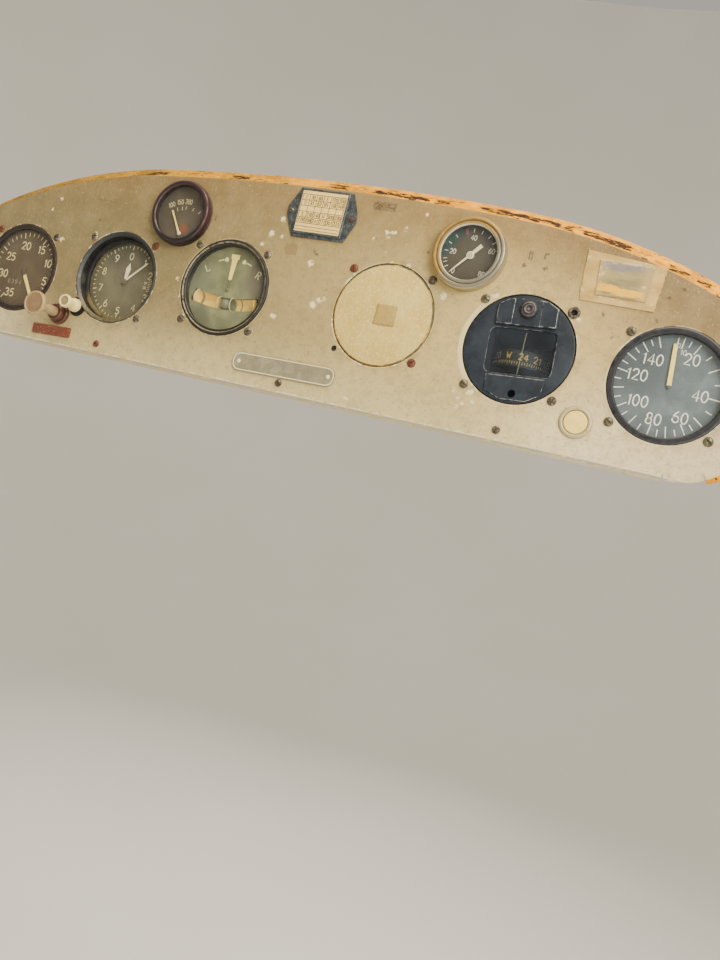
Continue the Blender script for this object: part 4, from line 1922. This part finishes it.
def knob_boss():
    """The black lug that fills the notch beside the altimeter."""
    reach_out, rim = 8.2, 39.7
    toward, cut, lap = crossing(ALTIMETER, rim, SET_KNOB, reach_out)
    outline = arc(*SET_KNOB, reach_out, toward - 180 + lap, toward + 180 - lap, 24)
    outline += arc(*ALTIMETER, rim, toward + cut, toward - cut, 8)[1:-1]
    lug = slab(outline, FACE + 0.5, FACE + 1.6, [circle(*SET_KNOB, 3, 32)])
    return piece("set_knob_boss", [(DEEP_BLACK, lug)])


set_knob()
knob_boss()
PIN_AT = (SET_KNOB[0] + 1.5, SET_KNOB[1] + 5.9)
screw("altimeter_lock_pin", PIN_AT, 30, ZINC_PLATE, 0.55, FACE + 0.5)

# %% [markdown]
# ## Plates, paper and covers
#
# What is left is flat: the blanking disc in the sixth hole, the holder with its card, two
# placards, a taped note and the plug of a small hole. Flat things give themselves away by
# their edges, so each has a real thickness and a rounded or folded border, and the tape is a
# rippled sheet that lifts a little. The plates' wording stays blank.

# %% Blanking disc


def disc_cream():
    f = Finish("disc_cream", gloss=0.4)
    cloud = f.patches(0.3, 0.7, 16, 4)
    specks = f.patches(0.53, 0.64, 1.7, 5, 0.75)
    stain = f.patches(0.56, 0.72, 4.5, 5, 0.7)
    streak = f.mottle(2.6, 3, 0.55, (1, 1, 0.12))
    f.ground(cloud, "cbb05c", "d6bf70")
    f.coat(f.step(streak, 0.4, 0.7, 0, 0.2), "ae9458")
    f.coat(f.both(specks, 0.8), "e8d69e")
    f.coat(f.both(stain, 0.35), "a18a5a")
    square = f.boxed(BLANK[0] + 2.2, BLANK[1] - 0.1, 8.2, 7.8, 0.3)
    inside = f.boxed(BLANK[0] + 3, BLANK[1] + 0.8, 7.2, 6.8, 0.5, 1.2)
    f.coat(f.both(square, f.step(inside, 0, 1, 0.85, 0.55)), "8d6f3c")
    ring = f.step(f.off_ring(BLANK, 38.5), 0.2, 0.9, 1, 0)
    low_left = f.step(f.plus(f.along("X"), f.along("Z")), 110, 150, 1, 0)
    edge_line = f.blend(low_left, "3c3a34", "6b4626")
    f.coat(f.both(ring, f.step(f.mottle(8, 4), 0.36, 0.5, 0.35, 0.95)), edge_line)
    f.dents(f.both(specks, 0.6), 0.05)
    return f.done(f.step(cloud, 0, 1, 0.5, 0.65))


DISC_CREAM = disc_cream()
cover = softened(from_level(FACE, [(AXIS, 0.2), (39, 0.2, 0.5), (39, 1.9)]))
backing = slab(flange_outline(), FLANGE_FRONT, FLANGE_FRONT + 1.5)
piece("blanking_cover", [(DISC_CREAM, turned(cover, BLANK, 96)),
    (CRACKLE_BLACK, placed(backing, BLANK))], stands_for=["blanking_disc"])

# %% The card holder and its card
HOLDER = [(-21.4, 124), (22.9, 124.4), (29.7, 140.8), (29, 148), (22.6, 163), (-22, 163.4),
    (-30, 147.5), (-29.6, 141)]
CARD = {"left": -20, "right": 18.2, "low": 128.5, "high": 161}


def holder_metal():
    f = Finish("holder_metal", gloss=0.5)
    patch = f.patches(0.42, 0.62, 4.5, 5, 0.7)
    scrape = f.patches(0.6, 0.68, 1.1, 4, 0.6, (1, 1, 0.3))
    bright = f.patches(0.63, 0.68, 2.4, 6, 0.75, shift=(9, 0, 2))
    f.ground(patch, "333a40", "51585a")
    f.coat(f.both(scrape, 0.5), "80868a")
    f.coat(bright, "aeb0a4")
    f.dents(f.plus(f.both(patch, 0.5), f.both(scrape, 0.4)), 0.08)
    return f.done(f.step(bright, 0, 1, 0.5, 0.35), f.step(bright, 0, 1, 0.35, 0.9))


HOLDER_METAL = holder_metal()


def card_outline(out):
    """The card's corners, moved outward by so many mm."""
    left, right = CARD["left"] - out, CARD["right"] + out
    low, high = CARD["low"] - out, CARD["high"] + out
    return [(left, low), (right, low), (right, high), (left, high)]


def card_frame():
    """A rolled rim round the card, as a ring with a softened section."""
    section = softened([(0.1, -9.2), (0.2, -10.1, 0.2), (1.1, -10.3, 0.4), (1.9, -9.9, 0.3),
        (2.1, -9.2)])
    rings = [[(x, y, z) for x, z in card_outline(out)] for out, y in section]
    return loft(rings + rings[:1])


piece("card_holder_plate", [(HOLDER_METAL,
    slab(rounded_outline(HOLDER, 1.2), FACE - 1.2, FACE - 0.3)), (HOLDER_METAL, card_frame())],
    stands_for=["card_holder"], edge=0.15)
screw("holder_screw_left", (-26.2, 144), 35, SCREW_DARK, 0.6, FACE - 1.2)
screw("holder_screw_right", (25.6, 143), -10, SCREW_RED, 0.5, FACE - 1.2)


def card_paper():
    f = Finish("card_paper", roughness=0.8, gloss=0.2)
    cloud = f.patches(0.3, 0.7, 14, 4)
    fibre = f.mottle(0.6, 4, 0.7)
    foxing = f.patches(0.64, 0.74, 2.2, 4, 0.7)
    f.ground(cloud, "f3d588", "dfc27a")
    f.coat(f.both(foxing, 0.35), "9b8350")
    f.dents(f.both(fibre, 0.6), 0.04)
    return f.done(f.step(fibre, 0.3, 0.7, 0.72, 0.9))


piece("heading_card", [(card_paper(), slab(card_outline(0), FACE - 2, FACE - 1.5))],
    stands_for=["card"], edge=0.1)


def card_grid():
    """Ruled rows and columns, with a heading or its correction in each cell of four rows."""
    y = FACE - 2
    rows = [158.2, 153.6, 149, 144.4, 139.8, 135.2, 132.4, 129.9]
    left, right = CARD["left"] + 0.8, CARD["right"] - 0.8
    wide = (right - left) / 6
    lines = [[(left, z), (right, z)] for z in rows]
    lines += [[(left + i * wide, rows[0]), (left + i * wide, rows[5])] for i in range(7)]
    shapes = [stroke(line, 0.42, y - 0.05, y) for line in lines]
    for z, texts in ((155.9, "N 30 60 E 120 150"), (151.3, "2 31 62 91 118 149"),
            (142.1, "S 210 240 W 300 330"), (137.5, "179 208 241 272 301 331")):
        for i, text in enumerate(texts.split()):
            spot = (left + (i + 0.5) * wide, z)
            shapes += [stroke(line, 0.5, y - 0.05, y)
                for line in figure_lines(text, 2.7, spot, 0.85)]
    return piece("card_grid", [(dial_print("card_ink", "332818", "54462e"), shape)
        for shape in shapes])


card_grid()

# %% Placards


def worn_plate(name, base, stain, bare, share):
    f = Finish(name, gloss=0.5)
    cloud = f.patches(0.38, 0.66, 9, 5, 0.7)
    nick = f.step(f.mottle(1.8, 6, 0.72), 0.71 - share, 0.74 - share)
    f.ground(cloud, base, stain)
    f.coat(nick, bare)
    f.dents(f.minus(f.both(cloud, 0.3), nick), 0.07)
    return f.done(f.step(cloud, 0, 1, 0.42, 0.6))


def border_band(half, height, corner, width, y):
    outer = rounded_rectangle(half, height, corner)
    inner = rounded_rectangle(half - width, height - 2 * width, corner - width)
    rings = [[(x, y, z) for x, z in outer], [(x, y - 0.15, z) for x, z in outer],
        [(x, y - 0.15, z) for x, z in inner], [(x, y, z) for x, z in inner]]
    return loft(rings)


GREY_PLATE = worn_plate("placard_grey_paint", "807c64", "989278", "d8cfae", 0.07)
PALE_LINE = worn_plate("placard_border", "f0e4ba", "d9cda0", "8b8673", 0)
RED_PLATE = worn_plate("placard_red_paint", "773d2b", "673a2c", "b98f6c", 0.125)
LIMIT_AT, LIMIT_TURN = (0.6, 20.3), -1.2
limit = [(GREY_PLATE, slab(rounded_rectangle(44, 15, 7.4), FACE - 1.1, FACE - 0.3)),
    (PALE_LINE, border_band(43.4, 13.8, 6.8, 0.75, FACE - 1.1))]
for side in (-1, 1):
    rivet = softened(from_level(FACE, [(AXIS, -1.9), (1.3, -1.7, 0.5), (1.7, -1.05),
        (AXIS, -1.05)]))
    limit.append((PALE_LINE, turned(rivet, (side * 38.6, 0), 28)))
piece("limit_plate", [(m, placed(shape, LIMIT_AT, LIMIT_TURN)) for m, shape in limit],
    stands_for=["limit_placard"])
heat_label = [(RED_PLATE, slab(rounded_rectangle(20.2, 8.7, 0.6), FACE - 0.8, FACE - 0.3))]
piece("heat_label", [(m, placed(shape, (-223.8, 12.3), -2)) for m, shape in heat_label],
    stands_for=["heat_placard"])

# %% Tape and note


def rippled(corners, front, rear, columns, rows, lift, torn=0.0):
    """A closed thin sheet over four (x, z) corners whose front ripples by `lift`."""
    grid = []
    for side in (0, 1):
        for i in range(columns + 1):
            for j in range(rows + 1):
                u, v = i / columns, j / rows
                low = Vector(corners[0]).lerp(Vector(corners[1]), u)
                high = Vector(corners[3]).lerp(Vector(corners[2]), u)
                ragged = noise.noise(Vector((v * 14, i == 0, 3.7))) * (i in (0, columns))
                spot = low.lerp(high, v) + Vector((torn * ragged, 0))
                bump = noise.noise(Vector((spot.x * 0.16, spot.y * 0.09, 1.3)))
                y = rear if side else front - lift * max(bump, -0.2)
                grid.append((spot.x, y, spot.y))
    return thin_sheet(grid, columns + 1, rows + 1)


def masking_tape():
    f = Finish("masking_tape", gloss=0.35, Subsurface_Weight=0.1)
    wrinkle = f.mottle(5, 5, 0.65, (0.35, 1, 1))
    crepe = f.mottle(0.7, 3, 0.6, (1, 1, 0.25))
    lifted = f.patches(0.45, 0.7, 12, 4)
    ridge = f.patches(0.6, 0.66, 4, 5, 0.6, (0.5, 1, 0.7), (3, 0, 8))
    f.ground(f.step(wrinkle, 0.35, 0.7), "be9a54", "d6b26c")
    f.coat(f.both(lifted, 0.45), "dcc285")
    f.coat(f.both(ridge, 0.6), "f2dfa0")
    f.dents(f.plus(f.both(wrinkle, 0.8), f.both(crepe, 0.15)), 0.3)
    return f.done(f.step(wrinkle, 0.3, 0.7, 0.4, 0.62))


def silvery_note():
    """A slip under the tape: silvery at its top, pale at its sides, golden at its foot."""
    f = Finish("silvery_note", gloss=0.5)
    along_x, along_z = f.along("X"), f.along("Z")
    streak = f.mottle(6, 5, 0.65, (0.3, 1, 1.3))
    crumple = f.patches(0.56, 0.64, 3.2, 4, 0.65, (0.6, 1, 0.9), (2, 0, 5))
    bent = f.plus(along_z, f.step(streak, 0.3, 0.7, -1.6, 1.6))
    f.ground(f.step(streak, 0.35, 0.68), "877a54", "a59768")
    silver = f.both(f.near(bent, 134.4, 0.8, 1.8), f.near(along_x, 230, 12, 8))
    f.coat(silver, "857c7c")
    f.coat(f.near(bent, 137.6, 0.4, 1.4), "c6b98c")
    sides = f.step(f.off(along_x, 231), 8, 16)
    f.coat(f.both(sides, f.step(crumple, 0, 1, 0.25, 0.9)), "ecc984")
    slope = f.plus(bent, f.both(f.minus(along_x, 232), 0.06))
    foot = f.both(f.near(slope, 117.6, 2, 1.3), f.near(along_x, 231, 13, 5))
    f.coat(foot, "f0b92c")
    f.dents(f.plus(streak, f.both(crumple, 0.5)), 0.25)
    return f.done(f.step(streak, 0.3, 0.7, 0.55, 0.35))


PATCH = [(205.8, 109), (255.6, 108), (257.7, 138.8), (204.1, 144.2)]
NOTE = [(215.5, 113.8), (249.2, 113.5), (249.7, 138.2), (213.8, 138.7)]
piece("tape_sheet", [(masking_tape(), rippled(PATCH, FACE - 0.6, FACE - 0.3, 48, 32, 0.35, 0.8))],
    stands_for=["tape_patch"], crease=50)
piece("note_sheet", [(silvery_note(), rippled(NOTE, FACE - 1.25, FACE - 1, 36, 26, 0.25))],
    stands_for=["tape_note"], crease=50)

# %% The plugged hole
PLUG_YELLOW = old_plastic("plug_yellow", "fbd664", "fbe084", 0.45, "9c8350")
plug = softened([*from_level(FACE, [(AXIS, -1.2), (7.4, -1.2, 0.4), (8, -0.8, 0.3), (8, -0.3),
    (6, -0.3)]), (6, -2.6, 0.4), (AXIS, -2.4)])
piece("port_cover", [(PLUG_YELLOW, turned(plug, PORT, 48))], stands_for=["port_plug"])


def collar_paint():
    """Khaki over aluminium, rubbed bare on its crest and grimy along both borders."""
    f = Finish("collar_paint", gloss=0.45)
    crest = f.step(f.off_ring(PORT, 9.6), 0.2, 0.9, 1, 0)
    border = f.step(f.off_ring(PORT, 9.8), 1, 1.5)
    patch = f.mottle(3.5, 5, 0.7)
    bare = f.both(crest, f.step(patch, 0.44, 0.52))
    f.ground(f.step(patch, 0.35, 0.7), "b3a170", "c8b88a")
    f.coat(bare, "bdb9aa")
    f.coat(f.both(border, f.step(patch, 0.3, 0.6, 0.5, 1)), "5c4a2e")
    f.dents(patch, 0.08)
    return f.done(f.step(patch, 0.3, 0.7, 0.4, 0.6), f.both(bare, 0.8))


ring_piece("port_collar", from_level(FACE,
    [(8.3, -1.1), (9.4, -1.5, 0.3), (10.4, -1.3, 0.5), (11.3, -0.3), (8.3, -0.3)]), PORT,
    collar_paint(), "port_ring", 64)

# %% [markdown]
# ## Studio
#
# A seamless pale bowl surrounds the panel, so no horizon crosses the picture and the glass has
# something calm to reflect. The warm key light stands to the right and a little above, and a
# soft warm lamp overhead gives the bent edge its yellow highlight. No lamp stands where a
# dial's glass would mirror it toward the camera. Area lamps make softer shadows than points
# would.

# %% Backdrop
BACKDROP = {"floor": -1, "flat": 2.4, "radius": 4.4, "top": 3.4, "turns": 72}


def add_backdrop():
    flat, radius, low = BACKDROP["flat"], BACKDROP["radius"], BACKDROP["floor"]
    profile = [(0.01, low), (flat, low)]
    for i in range(1, 13):
        angle = math.radians(90 * i / 12)
        profile.append((flat + (radius - flat) * math.sin(angle),
            low + (radius - flat) * (1 - math.cos(angle))))
    profile.append((radius, BACKDROP["top"]))
    rings = [[(x, y, z) for x, y in circle(0, 0, out, BACKDROP["turns"])] for out, z in profile]
    points, faces = loft(rings)
    mesh = bpy.data.meshes.new("backdrop")
    mesh.from_pydata(points, [], faces)
    mesh.shade_smooth()
    f = Finish("backdrop_paper", roughness=0.9)
    f.ground(f.patches(0.3, 0.7, 900, 2), "f0eee9", "f4f2ee")
    f.dents(f.mottle(12, 3), 0.1)
    mesh.materials.append(f.done())
    in_scene("backdrop", mesh)


# %% Lamps and world
LAMPS_FACE = (0, 0, 0.08)
LAMPS = {
    "key": {"at": (1.25, -1.15, 0.7), "size": 0.9, "watts": 40, "colour": (1, 0.93, 0.78)},
    "low": {"at": (1.3, -1, -0.5), "size": 0.9, "watts": 10, "colour": (1, 0.94, 0.84)},
    "over": {"at": (0.3, -0.4, 1.4), "size": 1, "watts": 30, "colour": (1, 0.86, 0.6)},
    "behind": {"at": (-0.4, 1.6, 0.8), "size": 1.4, "watts": 20, "colour": (1, 0.97, 0.92)},
}


def add_lamp(name, at, size, watts, colour):
    lamp = bpy.data.lights.new(name, "AREA")
    lamp.energy = watts
    lamp.size = size
    lamp.color = colour
    light = in_scene(name, lamp)
    light.location = at
    light.rotation_mode = "QUATERNION"
    light.rotation_quaternion = (Vector(LAMPS_FACE) - Vector(at)).to_track_quat("-Z", "Y")


add_backdrop()
for lamp_name, lamp in LAMPS.items():
    add_lamp(lamp_name, **lamp)
world = bpy.data.worlds.new("studio")
world.use_nodes = True
world.node_tree.nodes["Background"].inputs["Color"].default_value = paint("e8e2d6")
world.node_tree.nodes["Background"].inputs["Strength"].default_value = 0.58
bpy.context.scene.world = world
print("lamps:", len(LAMPS), "watts in all:", sum(lamp["watts"] for lamp in LAMPS.values()))
